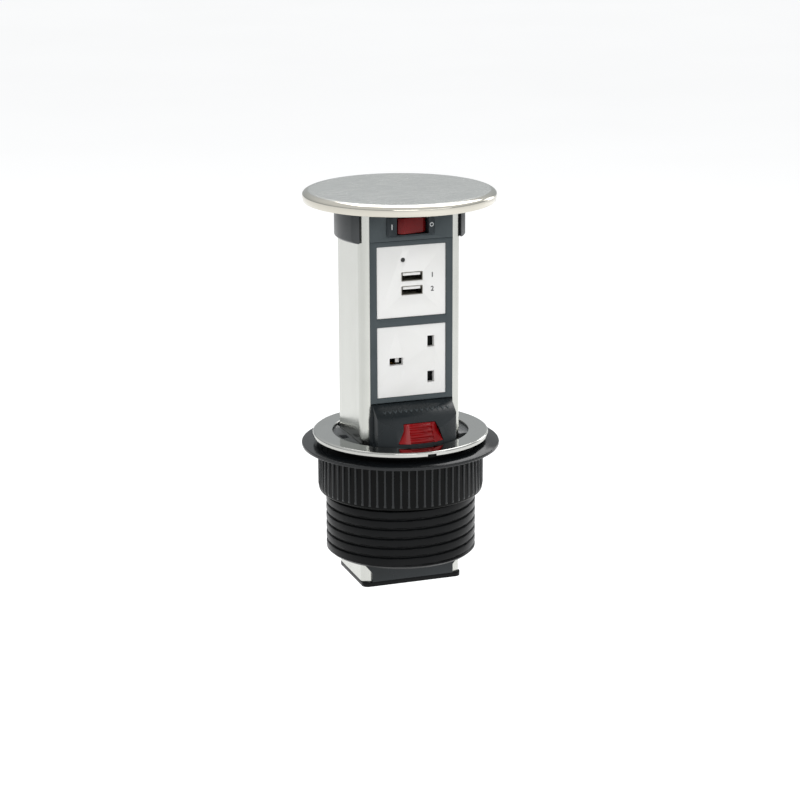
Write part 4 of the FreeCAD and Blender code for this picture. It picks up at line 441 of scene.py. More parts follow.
# Red polycarbonate: a dark glossy rocker, and a clear button whose facets glow where light comes through
ROCKER_RED = ClearRedPlastic("red_polycarbonate_rocker", "#741315", "#660f11", 0.24, specular=0.15, glow=0.08)
BUTTON_RED = ClearRedPlastic("red_polycarbonate_button", "#9a080e", "#7b060b", 0.24, specular=0.2)
# Closed-cell foam rubber of the gasket
GASKET_FOAM = MouldedPlastic("black_foam", "#141414", "#1b1b1b", 0.85, specular=0.2, grain_mm=0.8,
                             grain_depth_mm=0.15)
# Zinc-plated screws and drawn spring wire
SCREW_ZINC = Finish("zinc_plated_steel", "#c2c4c6", "#aeb0b4", 0.28, metallic=1.0, mottle_mm=1.5)
SPRING_STEEL = Finish("spring_steel", "#a9abac", "#8f9192", 0.25, metallic=1.0, mottle_mm=1.0)
# Tinned shells of the charger's ports, dull, and painted darker than tin as painted shade in their depth
SHADED_TIN_PLATE = LinedMetal("tin_plated_steel", "#8b887f", "#7d7b74", 0.30, line_mm=0.2, length_mm=6.0,
                       depth_mm=0.002)
# Stamped brass sheet of the contacts and terminals
SHEET_BRASS = LinedMetal("sheet_brass", "#c9a55a", "#b8934a", 0.27, lay=Lay.UPRIGHT, line_mm=0.25,
                         length_mm=12.0, depth_mm=0.004)
# The charger's board, the tape round its transformer and the sleeves of its capacitors
BOARD_GREEN = CircuitBoard("solder_mask", "#1f5a34", "#2f7a48", 0.35)
WINDING_TAPE = Striped("winding_tape", "#d9b52a", "#cda721", 0.40, band_mm=5.0, second="#3a3a3c")
CAN_SLEEVE = MouldedPlastic("capacitor_sleeve", "#23232e", "#2b2b38", 0.30)
# The lamp's light guide: off in the photograph, so it shows as a dark glossy dot
LAMP_GUIDE = Finish("dark_light_guide", "#141a18", "#0f1312", 0.10, mottle_mm=0.6)
# PVC insulation of the three supply wires
WIRE_BROWN = MouldedPlastic("pvc_brown", "#6b3d22", "#5f351d", 0.45)
WIRE_BLUE = MouldedPlastic("pvc_blue", "#2a56b0", "#244b9c", 0.45)
WIRE_EARTH = Striped("pvc_green_yellow", "#3c8c2c", "#367f27", 0.45, band_mm=3.2, second="#e3cc2e")
# Pad-printing ink of the plain signs
WHITE_INK = SmoothPlastic("white_ink", "#dfe1e1", "#d4d6d6", 0.5, grain_mm=0.2)
GREY_INK = SmoothPlastic("grey_ink", "#2c2d2f", "#262729", 0.5, grain_mm=0.2)
# The floor under the photographed object
LIGHT_TABLE = OpalSheet("opal_light_table", "#c4c4c4", "#c1c1c1", 0.9, specular=0.1, mottle_mm=400.0)


# Meshes


def new_object(name: str, data: bpy.types.ID) -> Item:
    """Puts a new object into the scene.

    Args:
        name: Name of the object.
        data: Its mesh, light or camera.

    Returns:
        The object.
    """
    item = bpy.data.objects.new(name, data)
    bpy.context.scene.collection.objects.link(item)
    return item


def shade(item: Item, sharp_degrees: float = 35.0) -> Item:
    """Smooths an object's shading, apart from edges sharper than an angle.

    Args:
        item: The object.
        sharp_degrees: Edges that turn by more than this stay crisp.

    Returns:
        The same object.
    """
    for face in item.data.polygons:
        face.use_smooth = True
    item.data.set_sharp_from_angle(angle=math.radians(sharp_degrees))
    return item


def to_object(name: str, shape: Shape) -> Item:
    """Turns a shape into an object and frees it.

    Args:
        name: Name of the object.
        shape: The shape, in metres.

    Returns:
        The new object.
    """
    mesh = bpy.data.meshes.new(name)
    shape.to_mesh(mesh)
    shape.free()
    return new_object(name, mesh)


def finished(name: str, shape: Shape, sharp_degrees: float = 35.0, weld_mm: float = 1e-4) -> Item:
    """Welds a shape, turns its faces outwards and makes it a smoothly shaded object.

    Args:
        name: Name of the object.
        shape: The shape, in metres.
        sharp_degrees: Edges that turn by more than this stay crisp.
        weld_mm: Corners closer than this become one.

    Returns:
        The new object.
    """
    bmesh.ops.remove_doubles(shape, verts=shape.verts, dist=weld_mm * MM)
    bmesh.ops.recalc_face_normals(shape, faces=shape.faces)
    return shade(to_object(name, shape), sharp_degrees)


def joined(name: str, items: Iterable[Item]) -> Item:
    """Makes one object of several and removes them.

    Args:
        name: Name of the new object.
        items: The objects, which share one finish.

    Returns:
        The new object.
    """
    shape = bmesh.new()
    for item in items:
        shape.from_mesh(item.data)
        bpy.data.objects.remove(item)
    return finished(name, shape, weld_mm=1e-3)


def rounded(corners: Sequence[Point3], steps: int = 4) -> list[Point2]:
    """Rounds the corners of a closed outline.

    Args:
        corners: Across, up and rounding radius of each corner, in millimetres.
        steps: Straight parts in each rounding.

    Returns:
        The rounded outline.
    """
    outline: list[Point2] = []
    for index, (across, up, radius) in enumerate(corners):
        corner = Vector((across, up))
        if radius <= 0.0:
            outline.append((across, up))
            continue
        before = (Vector(corners[index - 1][:2]) - corner).normalized()
        after = (Vector(corners[(index + 1) % len(corners)][:2]) - corner).normalized()
        half = before.angle(after) / 2
        middle = corner + (before + after).normalized() * (radius / math.sin(half))
        first, last = (corner + side * (radius / math.tan(half)) - middle for side in (before, after))
        outline += [tuple(middle + first.slerp(last, step / steps)) for step in range(steps + 1)]
    return outline


def row(shape: Shape, places: Iterable[Point3]) -> list[Corner]:
    """Adds a row of corners at places in millimetres."""
    return [shape.verts.new([value * MM for value in place]) for place in places]


def bridge(shape: Shape, rows: Sequence[Sequence[Corner]], closed: bool = False,
           capped: bool = False) -> None:
    """Adds the faces between rows of corners that each run right round.

    Args:
        shape: The shape that has the corners.
        rows: Rows of as many corners each; a corner may stand in a row more than once.
        closed: Whether the last row joins the first.
        capped: Whether the first and the last row get a face.
    """
    for low, high in zip(rows, (*rows[1:], rows[0]) if closed else rows[1:]):
        for index in range(len(low)):
            after = (index + 1) % len(low)
            loop = list(dict.fromkeys((low[index], low[after], high[after], high[index])))
            if len(loop) > 2:
                shape.faces.new(loop)
    if capped:
        shape.faces.new(rows[0])
        shape.faces.new(rows[-1])


def turned(shape: Shape, profile: Iterable[Point2], steps: int) -> list[list[Corner]]:
    """Adds a ring of corners round the tower's axis for each point of a profile.

    Args:
        shape: The shape, in metres.
        profile: Radius and height of each point, in millimetres. On the axis, a ring is one corner.
        steps: Corners in a ring.

    Returns:
        The rings.
    """
    rings = []
    for radius, height in profile:
        if radius == 0.0:
            rings.append(row(shape, [(0.0, 0.0, height)]) * steps)
            continue
        angles = (2 * math.pi * step / steps for step in range(steps))
        around = ((radius * math.cos(angle), radius * math.sin(angle), height) for angle in angles)
        rings.append(row(shape, around))
    return rings


def lathe(name: str, profile: Sequence[Point2], steps: int, closed: bool = True) -> Item:
    """Turns a profile about the tower's axis.

    Args:
        name: Name of the object.
        profile: Radius and height of each point, in millimetres.
        steps: Straight parts round the axis.
        closed: Whether the last point joins the first.

    Returns:
        The turned object.
    """
    shape = bmesh.new()
    bridge(shape, turned(shape, profile, steps), closed)
    return finished(name, shape)


def block(shape: Shape, *spans: Point2) -> None:
    """Adds a box to a shape.

    Args:
        shape: The shape, in metres.
        *spans: Lowest and highest x, y and z in millimetres.
    """
    middle = [(low + high) / 2 * MM for low, high in spans]
    size = [(high - low) * MM for low, high in spans]
    bmesh.ops.create_cube(shape, size=1.0, matrix=Matrix.Translation(middle) @ Matrix.Diagonal((*size, 1.0)))


def upright(x: float, y: float, z: float) -> Matrix:
    """Stands a flat shape on the tower's front at a place in millimetres."""
    return Matrix.Translation((x * MM, y * MM, z * MM)) @ Matrix.Rotation(math.pi / 2, 4, "X")


def applied(item: Item) -> Item:
    """Turns what an object shows, with its modifiers, into its mesh.

    Args:
        item: The object.

    Returns:
        The same object, without modifiers.
    """
    bpy.context.view_layer.update()
    graph = bpy.context.evaluated_depsgraph_get()
    mesh = bpy.data.meshes.new_from_object(item.evaluated_get(graph), depsgraph=graph)
    item.modifiers.clear()
    item.data = mesh
    return item


def bevelled(item: Item, width_mm: float, angle: float = 40.0) -> Item:
    """Rounds the crisp edges of an object.

    Args:
        item: The object.
        width_mm: Width of the rounding.
        angle: Edges that turn by more than this are rounded.

    Returns:
        The same object, with the rounding in its mesh.
    """
    modifier = item.modifiers.new("edge_rounding", "BEVEL")
    modifier.width = width_mm * MM
    modifier.segments = 2
    modifier.limit_method = "ANGLE"
    modifier.angle_limit = math.radians(angle)
    modifier.miter_outer = "MITER_ARC"
    return shade(applied(item), 50.0)


# Geometry Nodes


class Repeat(Enum):
    """How a Geometry Nodes tree lays out copies of a piece, and the sizes that it asks for."""

    RING = (("Count", "Int"), ("Radius", "Float"))
    LINE = (("Count", "Int"), ("Start", "Vector"), ("Step", "Vector"))
    GRID = (("Width", "Float"), ("Depth", "Float"), ("Middle", "Vector"), ("Turn Spread", "Float"))


def new_tree(name: str, sizes: Iterable[tuple[str, str]]) -> tuple[Tree, bpy.types.NodeOutputs]:
    """Starts a Geometry Nodes tree with a geometry, named sizes and a material as its inputs.

    Args:
        name: Name of the tree.
        sizes: Name and type of each size, such as Float.

    Returns:
        The tree and the outputs of its entry, by name.
    """
    tree = bpy.data.node_groups.new(name, "GeometryNodeTree")
    for label, kind in (("Geometry", "Geometry"), *sizes, ("Material", "Material")):
        tree.interface.new_socket(name=label, in_out="INPUT", socket_type="NodeSocket" + kind)
    tree.interface.new_socket(name="Geometry", in_out="OUTPUT", socket_type="NodeSocketGeometry")
    return tree, add_node(tree, "NodeGroupInput").outputs


def close_tree(tree: Tree, given: bpy.types.NodeOutputs, made: Node) -> Tree:
    """Ends a tree in Realize Instances and Set Material.

    Args:
        tree: The tree.
        given: The outputs of its entry.
        made: The node that makes the geometry.

    Returns:
        The same tree.
    """
    real = add_node(tree, "GeometryNodeRealizeInstances", {0: made})
    painted = add_node(tree, "GeometryNodeSetMaterial", {"Geometry": real, "Material": given["Material"]})
    add_node(tree, "NodeGroupOutput", {0: painted})
    return tree


def repeat_tree(kind: Repeat) -> Tree:
    """Builds the tree that copies a piece round a ring, along a line or over a grid.

    Args:
        kind: The layout.

    Returns:
        The tree, built once.
    """
    name = "copies_on_" + kind.name.lower()
    if name in bpy.data.node_groups:
        return bpy.data.node_groups[name]
    tree, given = new_tree(name, kind.value)
    angle = 0.0
    if kind is Repeat.RING:
        inputs = {"Vertices": given["Count"], "Radius": given["Radius"]}
        points = add_node(tree, "GeometryNodeMeshCircle", inputs)
        share = worked(tree, "DIVIDE", add_node(tree, "GeometryNodeInputIndex").outputs[0], given["Count"])
        angle = worked(tree, "MULTIPLY", share, 2 * math.pi)
    elif kind is Repeat.LINE:
        inputs = {"Count": given["Count"], "Start Location": given["Start"], "Offset": given["Step"]}
        points = add_node(tree, "GeometryNodeMeshLine", inputs, mode="OFFSET")
    else:
        inputs = {"Vertices X": 2, "Vertices Y": 2, "Size X": given["Width"], "Size Y": given["Depth"]}
        flat = add_node(tree, "GeometryNodeMeshGrid", inputs)
        points = add_node(tree, "GeometryNodeSetPosition", {"Geometry": flat, "Offset": given["Middle"]})
        chance = {"Seed": 7, 3: given["Turn Spread"]}
        angle = add_node(tree, "FunctionNodeRandomValue", chance, data_type="FLOAT").outputs[1]
    turn = add_node(tree, "ShaderNodeCombineXYZ", {"Z": angle})
    return close_tree(tree, given, add_node(tree, "GeometryNodeInstanceOnPoints", {
        "Points": points, "Instance": given["Geometry"], "Rotation": turn}))


def thread_tree() -> Tree:
    """Builds the tree that winds a thread over a cylinder's skin.

    Returns:
        The tree. Its skin is a grid wrapped round the axis whose radius follows the thread's phase.
    """
    sizes = ("Radius", "Groove Depth", "Crown", "Pitch", "Groove Share", "Start", "Low", "High", "Run Out")
    counts = [(label, "Int") for label in ("Columns", "Rows")]
    tree, given = new_tree("wound_thread", [(label, "Float") for label in sizes] + counts)

    def do(operation: str, *terms: float | Socket) -> Socket:
        """Adds a math node to this tree."""
        return worked(tree, operation, *terms)

    grid = add_node(tree, "GeometryNodeMeshGrid", {
        "Size X": 1.0, "Size Y": 1.0, "Vertices X": given["Columns"], "Vertices Y": given["Rows"]})
    place = add_node(tree, "ShaderNodeSeparateXYZ", {0: add_node(tree, "GeometryNodeInputPosition")}).outputs
    turn, rise = (do("ADD", place[axis], 0.5) for axis in ("X", "Y"))
    height = do("MULTIPLY_ADD", rise, do("SUBTRACT", given["High"], given["Low"]), given["Low"])
    wound = do("ADD", do("DIVIDE", height, given["Pitch"]), given["Start"])
    away = do("ABSOLUTE", do("SUBTRACT", do("FRACT", do("SUBTRACT", wound, turn)), 0.5))
    half = do("MULTIPLY", given["Groove Share"], 0.5)
    groove = ranged(tree, away, (do("MULTIPLY", half, 0.4), half), (1.0, 0.0), smooth=True)
    flank = do("DIVIDE", do("SUBTRACT", 0.5, away), do("SUBTRACT", 0.5, half))
    crown = do("MULTIPLY", do("POWER", flank, 2.0), given["Crown"])
    drop = do("MULTIPLY_ADD", groove, given["Groove Depth"], crown)
    for ends, fade in (((given["Low"], do("ADD", given["Low"], given["Run Out"])), (0.0, 1.0)),
                       ((do("SUBTRACT", given["High"], given["Run Out"]), given["High"]), (1.0, 0.0))):
        drop = do("MULTIPLY", drop, ranged(tree, height, ends, fade, smooth=True))
    radius = do("SUBTRACT", given["Radius"], drop)
    angle = do("MULTIPLY", turn, 2 * math.pi)
    x, y = (do("MULTIPLY", radius, do(part, angle)) for part in ("COSINE", "SINE"))
    wrapped = add_node(tree, "ShaderNodeCombineXYZ", {"X": x, "Y": y, "Z": height})
    skin = add_node(tree, "GeometryNodeSetPosition", {"Geometry": grid, "Position": wrapped})
    welded = add_node(tree, "GeometryNodeMergeByDistance", {"Geometry": skin, "Distance": 1e-6})
    return close_tree(tree, given, welded)


def grown(item: Item, tree: Tree, finish: Finish, **sizes: float | Point3) -> Item:
    """Runs a Geometry Nodes tree on an object and keeps the result as its mesh.

    Args:
        item: The object whose mesh the tree is given.
        tree: The tree.
        finish: Finish of the result.
        **sizes: Values of the tree's inputs, with the inputs' names in small letters joined by underscores.

    Returns:
        The same object.
    """
    modifier = item.modifiers.new("nodes", "NODES")
    modifier.node_group = tree
    chosen = {**sizes, "material": finish.material()}
    for socket in tree.interface.items_tree:
        key = socket.name.lower().replace(" ", "_")
        if socket.in_out == "INPUT" and key in chosen:
            modifier[socket.identifier] = chosen[key]
    return shade(applied(item))


# Placing pieces


@dataclass(frozen=True)
class Stage:
    """What every sub-assembly needs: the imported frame's nodes."""

    nodes: dict[str, Item]

    def keep(self, piece: Item, body: str, slot: str, finish: Finish, *replaced: str) -> None:
        """Dresses a new piece and ties it to its body.

        Args:
            piece: The piece, in place.
            body: The body that it moves with.
            slot: The record's material slot. Not used.
            finish: Its finish.
            *replaced: CAD nodes that it stands for.
        """
        piece.data.materials.clear()
        piece.data.materials.append(finish.material())
        for face in piece.data.polygons:
            face.material_index = 0
        if replaced:
            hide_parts(*replaced)
        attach(piece, body)
        LOG.info("%s: %d faces on %s", piece.name, len(piece.data.polygons), body)

    def paint(self, finish: Finish, *names: str) -> None:
        """Gives CAD nodes' own solids a finish.

        Args:
            finish: The finish.
            *names: The nodes.
        """
        for name in names:
            for slot in self.nodes[name].material_slots:
                slot.material = finish.material()
            LOG.info("%s: CAD solid in %s", name, finish.name)

    def sprung(self, node: str, pushed: str, fixed: Point3, moving: Point3) -> None:
        """Copies a spring's mesh in spring steel, in place of its CAD node.

        Args:
            node: The spring's CAD node.
            pushed: The body that presses it.
            fixed: Its end on the tower, in millimetres. Not used.
            moving: Its end on that body, in millimetres. Not used.
        """
        mesh = self.nodes[node].data.copy()
        mesh.materials.clear()
        mesh.materials.append(SPRING_STEEL.material())
        item = shade(new_object("wound_" + node, mesh), 50.0)
        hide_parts(node)
        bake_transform(item)
        LOG.info("%s: shortens between tower and %s", item.name, pushed)

    def mould(self, node: str, width_mm: float, slot: str, finish: Finish, body: str = "tower",
              name: str = "", angle: float = 40.0, splits: Sequence[float] = ()) -> None:
        """Replaces a CAD solid with a copy whose crisp edges are rounded, as a mould or a press leaves them.

        Args:
            node: The CAD node.
            width_mm: Width of the rounding.
            slot: The record's material slot.
            finish: Its finish.
            body: The body that it moves with.
            name: Name of the copy, where it isn't moulded_ and the node's name.
            angle: Edges that turn by more than this are rounded.
            splits: Places across, one through each hole, that divide its flat faces so that none has a hole.
        """
        shape = bmesh.new()
        shape.from_mesh(self.nodes[node].data)
        bmesh.ops.remove_doubles(shape, verts=shape.verts, dist=2e-6)
        for split in splits:
            made = bmesh.ops.bisect_plane(shape, geom=[*shape.verts, *shape.edges, *shape.faces], dist=1e-7,
                                          plane_co=(split * MM, 0.0, 0.0), plane_no=(1.0, 0.0, 0.0))
            for part in made["geom_cut"]:
                if isinstance(part, bmesh.types.BMEdge):
                    part.seam = True
        bmesh.ops.dissolve_limit(shape, angle_limit=math.radians(0.3), verts=shape.verts, edges=shape.edges,
                                 delimit={"SEAM"})
        piece = bevelled(to_object(name or "moulded_" + node, shape), width_mm, angle)
        self.keep(piece, body, slot, finish, node)


# Sub-assemblies


@dataclass(frozen=True)
class WorktopFixing:
    """The ring, sleeve, gasket, washer and nut that hold the tower in a worktop. Sizes in millimetres."""

    thread_r: float = 46.646
    bore_r: float = 43.596
    flange_r: float = 52.846
    flange_top: float = 2.8
    gasket_top: float = 1.0
    low_z: float = -72.5
    chamfer: float = 1.6
    bore_edge: float = 0.2
    flange_edge: float = 0.3
    pitch: float = 6.0
    groove_depth: float = 1.3
    groove_share: float = 0.333
    crown: float = 0.12
    thread_start: float = -0.0167
    run_out: float = 2.0
    columns: int = 145
    rows: int = 289
    nut_bore_r: float = 46.996
    nut_r: float = 51.396
    nut_top: float = -5.3
    nut_low: float = -32.7
    nut_wall_r: float = 50.296
    nut_collar: float = 1.6
    nut_steps: int = 264
    rib_count: int = 66
    rib_root: float = 0.3
    rib_end: float = 0.1
    rib_half: float = 0.8
    rib_flank: tuple[Point2, ...] = ((0.74, -0.75), (0.6, -0.3), (0.3, -0.05))
    # Height of each row above the rib's lower end, how far its crest may reach, and how much wider it is
    rib_flare: tuple[Point3, ...] = ((2.6, 0.0, 1.0), (1.2, -0.25, 1.35), (0.5, -0.6, 1.9), (0.0, -1.05, 2.6))

    def build(self, stage: Stage) -> None:
        """Builds and places the fixing's pieces.

        Args:
            stage: The frame's nodes.
        """
        stage.keep(self.threaded_sleeve(), "base", "black_plastic", BLACK_NYLON, "threaded_sleeve")
        # The nut's body is painted darker as painted shade in its flutes, and its ribs lighter as a painted
        # highlight on their crests
        stage.keep(self.nut_ring(), "ring_nut", "black_plastic", SHADED_NUT_NYLON, "ring_nut")
        stage.keep(self.nut_ribs(), "ring_nut", "black_plastic", HIGHLIGHT_RIB_NYLON)
        stage.mould("clamp_washer", 0.15, "washer_plastic", WASHER_ABS, "clamp_washer")
        stage.paint(RING_STEEL, "trim_ring")
        stage.paint(GASKET_FOAM, "worktop_gasket")

    def threaded_sleeve(self) -> Item:
        """The flanged sleeve with its wound thread.

        Returns:
            The closed piece.
        """
        thread_low, foot_r = self.low_z + self.chamfer, self.thread_r - self.chamfer
        soft, edge = self.bore_edge, self.flange_edge
        empty = new_object("thread_skin", bpy.data.meshes.new("thread_skin"))
        skin = grown(empty, thread_tree(), BLACK_NYLON, radius=self.thread_r * MM,
                     groove_depth=self.groove_depth * MM, crown=self.crown * MM,
                     pitch=self.pitch * MM, groove_share=self.groove_share, start=self.thread_start,
                     low=thread_low * MM, high=self.gasket_top * MM, run_out=self.run_out * MM,
                     columns=self.columns, rows=self.rows)
        inside = lathe("sleeve_inside", (
            (self.thread_r, thread_low), (foot_r, self.low_z + soft), (foot_r - soft, self.low_z),
            (self.bore_r + soft, self.low_z), (self.bore_r, self.low_z + soft),
            (self.bore_r, self.flange_top), (self.flange_r - edge, self.flange_top),
            (self.flange_r, self.flange_top - edge), (self.flange_r, self.gasket_top + edge),
            (self.flange_r - edge, self.gasket_top), (self.thread_r, self.gasket_top),
        ), self.columns - 1, closed=False)
        return joined("wound_sleeve", (skin, inside))

    def nut_ring(self) -> Item:
        """The nut's turned body, up to the floor of its flutes.

        Returns:
            The piece.
        """
        collar_z = self.nut_top - self.nut_collar
        return lathe("turned_nut", rounded((
            (self.nut_bore_r, self.nut_low, 0.3),
            (self.nut_bore_r, self.nut_top, 0.3),
            (self.nut_r, self.nut_top, 0.5),
            (self.nut_r, collar_z, 0.4),
            (self.nut_wall_r, collar_z, 0.0),
            (self.nut_wall_r, self.nut_low + 0.5, 0.3),
            (self.nut_wall_r - 0.2, self.nut_low, 0.3),
        )), self.nut_steps)

    def nut_ribs(self) -> Item:
        """The nut's finger ribs: each has a round crest that draws in and flares at its lower end.

        Returns:
            All ribs in one piece.
        """
        root = self.nut_wall_r - self.nut_r - self.rib_root
        top, low = self.nut_top - self.nut_collar + self.rib_end, self.nut_low + self.rib_end
        flank = ((self.rib_half, root), *self.rib_flank)
        section = (*((-across, out) for across, out in flank), (0.0, 0.0), *reversed(flank))
        levels = ((top, 0.0, 1.0), *((low + up, limit, flare) for up, limit, flare in self.rib_flare))
        shape = bmesh.new()
        rows = [row(shape, ((min(out, limit), across * flare, z) for across, out in section))
                for z, limit, flare in levels]
        bridge(shape, rows, capped=True)
        return grown(finished("finger_rib", shape), repeat_tree(Repeat.RING), HIGHLIGHT_RIB_NYLON, count=self.rib_count,
                     radius=self.nut_r * MM)


@dataclass(frozen=True)
class Lid:
    """The round steel lid with what centres and carries it. Sizes in millimetres."""

    radius: float = 58.976
    flat_r: float = 52.996
    shoulder_in: float = 3.0
    top_z: float = 154.8
    widest_z: float = 151.9
    low_z: float = 148.0
    draw_in: float = 0.5
    skirt_in: float = 0.1
    skirt_down: float = 1.4
    sheet: float = 1.0
    steps: int = 256
    # How far in from the lower edge and how far up each point of its rolled lip lies
    lip: tuple[Point2, ...] = ((0.0, 0.4), (0.25, 0.08), (0.5, 0.0), (0.75, 0.08), (1.0, 0.4))

    def build(self, stage: Stage) -> None:
        """Builds and places the lid's pieces.

        Args:
            stage: The frame's nodes.
        """
        stage.keep(self.cap(), "tower", "lid_steel", LID_STEEL, "lid_cap")
        for side in ("left", "right"):
            stage.mould("side_block_" + side, 0.35, "black_plastic", BLOCK_ABS, angle=14.0)
        stage.paint(BLACK_NYLON, "lid_under_plate", "top_cap")

    def shoulder(self, inwards: float, steps: int) -> list[Point2]:
        """The quarter oval from the lid's flat to its widest ring.

        Args:
            inwards: How far inside the outer skin it lies.
            steps: Straight parts in it.

        Returns:
            Radius and height of its points.
        """
        across, down = self.radius - self.flat_r - inwards, self.top_z - self.widest_z - inwards
        angles = (math.radians(90 * step / steps) for step in range(steps + 1))
        return [(self.flat_r + across * math.sin(angle), self.widest_z + down * math.cos(angle))
                for angle in angles]

    def cap(self) -> Item:
        """The drawn lid: flat top, soft shoulder and a rolled lower edge.

        Returns:
            The turned piece.
        """
        low_r, inner_r = self.radius - self.draw_in, self.radius - self.sheet
        return lathe("drawn_lid", [
            (0.0, self.top_z), (self.flat_r - self.shoulder_in, self.top_z), *self.shoulder(0.0, 16),
            (self.radius - self.skirt_in, self.widest_z - self.skirt_down),
            *((low_r - inwards, self.low_z + up) for inwards, up in self.lip),
            (inner_r, self.widest_z), *reversed(self.shoulder(self.sheet, 8)[:-1]),
            (0.0, self.top_z - self.sheet),
        ], self.steps, closed=False)


class Mark(Enum):
    """A plain printed sign."""

    ON = "bar"
    OFF = "ring"


@dataclass(frozen=True)
class TowerFront:
    """What is set into the tower's front: panels, switch, charger and socket. Sizes in millimetres."""

    bezel_y: float = -23.0
    plate_y: float = -20.9
    breaker_z: float = 136.05
    on_x: float = -12.9
    off_x: float = 12.3
    ink: float = 0.04
    bar_half: Point2 = (0.28, 1.6)
    ring_r: Point2 = (1.25, 0.85)
    ring_steps: int = 48
    digit_x: float = 13.4
    digit_high: float = 4.2
    digit_bold: float = 0.09
    upper_z: float = 104.75
    lower_z: float = 96.2
    tip_box: tuple[Point2, Point2, Point2] = ((-9.0, -6.6), (-16.6, -15.6), (51.0, 54.2))

    def build(self, stage: Stage) -> None:
        """Builds and places the front's pieces.

        Args:
            stage: The frame's nodes.
        """
        for node, width, slot, finish, splits in (
            ("module_frame", 0.4, "slate_plastic", SLATE_ABS, (0.0,)),
            ("switch_panel", 0.35, "slate_plastic", SLATE_ABS, (-0.7,)),
            ("breaker_housing", 0.45, "black_plastic", BEZEL_ABS, (0.3,)),
            ("usb_plate", 0.3, "white_plastic", WHITE_UREA, (-5.3, 0.5)),
            ("socket_plate", 0.3, "white_plastic", WHITE_UREA, (-9.7, 12.5)),
        ):
            stage.mould(node, width, slot, finish, splits=splits)
        stage.mould("breaker_rocker", 0.7, "rocker_red", ROCKER_RED, "breaker_rocker", "moulded_rocker", 20.0)
        stage.mould("socket_shutter", 0.15, "black_plastic", INNER_SHADE_NYLON, "socket_shutter", "moulded_shutter")
        tip = bmesh.new()
        block(tip, *self.tip_box)
        stage.keep(bevelled(finished("shutter_tip", tip), 0.2), "socket_shutter", "white_plastic", WHITE_UREA)
        # The shells' darkened tin is painted shade in the ports' depth
        stage.mould("usb_shells", 0.08, "shell_steel", SHADED_TIN_PLATE, name="folded_usb_shells", splits=(0.5,))
        stage.mould("usb_tongues", 0.12, "white_plastic", WHITE_UREA)
        stage.paint(LAMP_GUIDE, "charge_lamp")
        for mark, x in ((Mark.ON, self.on_x), (Mark.OFF, self.off_x)):
            stage.keep(self.printed_mark(mark, x), "tower", "white_plastic", WHITE_INK)
        for text, z in (("1", self.upper_z), ("2", self.lower_z)):
            stage.keep(self.printed_digit(text, z), "tower", "slate_plastic", GREY_INK)

    def printed_mark(self, mark: Mark, x: float) -> Item:
        """A printed bar or ring beside the rocker.

        Args:
            mark: Which sign.
            x: Its place across.

        Returns:
            The thin piece.
        """
        shape = bmesh.new()
        if mark is Mark.ON:
            half, high = self.bar_half
            block(shape, (-half, half), (-high, high), (0.0, self.ink))
        else:
            outer, inner = self.ring_r
            profile = ((outer, 0.0), (outer, self.ink), (inner, self.ink), (inner, 0.0))
            bridge(shape, turned(shape, profile, self.ring_steps), closed=True)
        shape.transform(upright(x, self.bezel_y, self.breaker_z))
        return finished("printed_" + mark.value, shape)

    def printed_digit(self, text: str, z: float) -> Item:
        """A plain printed number beside a charger port.

        Args:
            text: The digit.
            z: Height of the port.

        Returns:
            The thin piece.
        """
        letter = bpy.data.curves.new("digit_" + text, "FONT")
        letter.body = text
        letter.size = self.digit_high * MM
        letter.extrude = self.ink / 2 * MM
        letter.offset = self.digit_bold * MM
        letter.align_x = letter.align_y = "CENTER"
        item = new_object("digit_shape_" + text, letter)
        graph = bpy.context.evaluated_depsgraph_get()
        mesh = bpy.data.meshes.new_from_object(item.evaluated_get(graph), depsgraph=graph)
        bpy.data.objects.remove(item)
        mesh.transform(upright(self.digit_x, self.plate_y - self.ink / 2, z))
        return new_object("printed_digit_" + text, mesh)


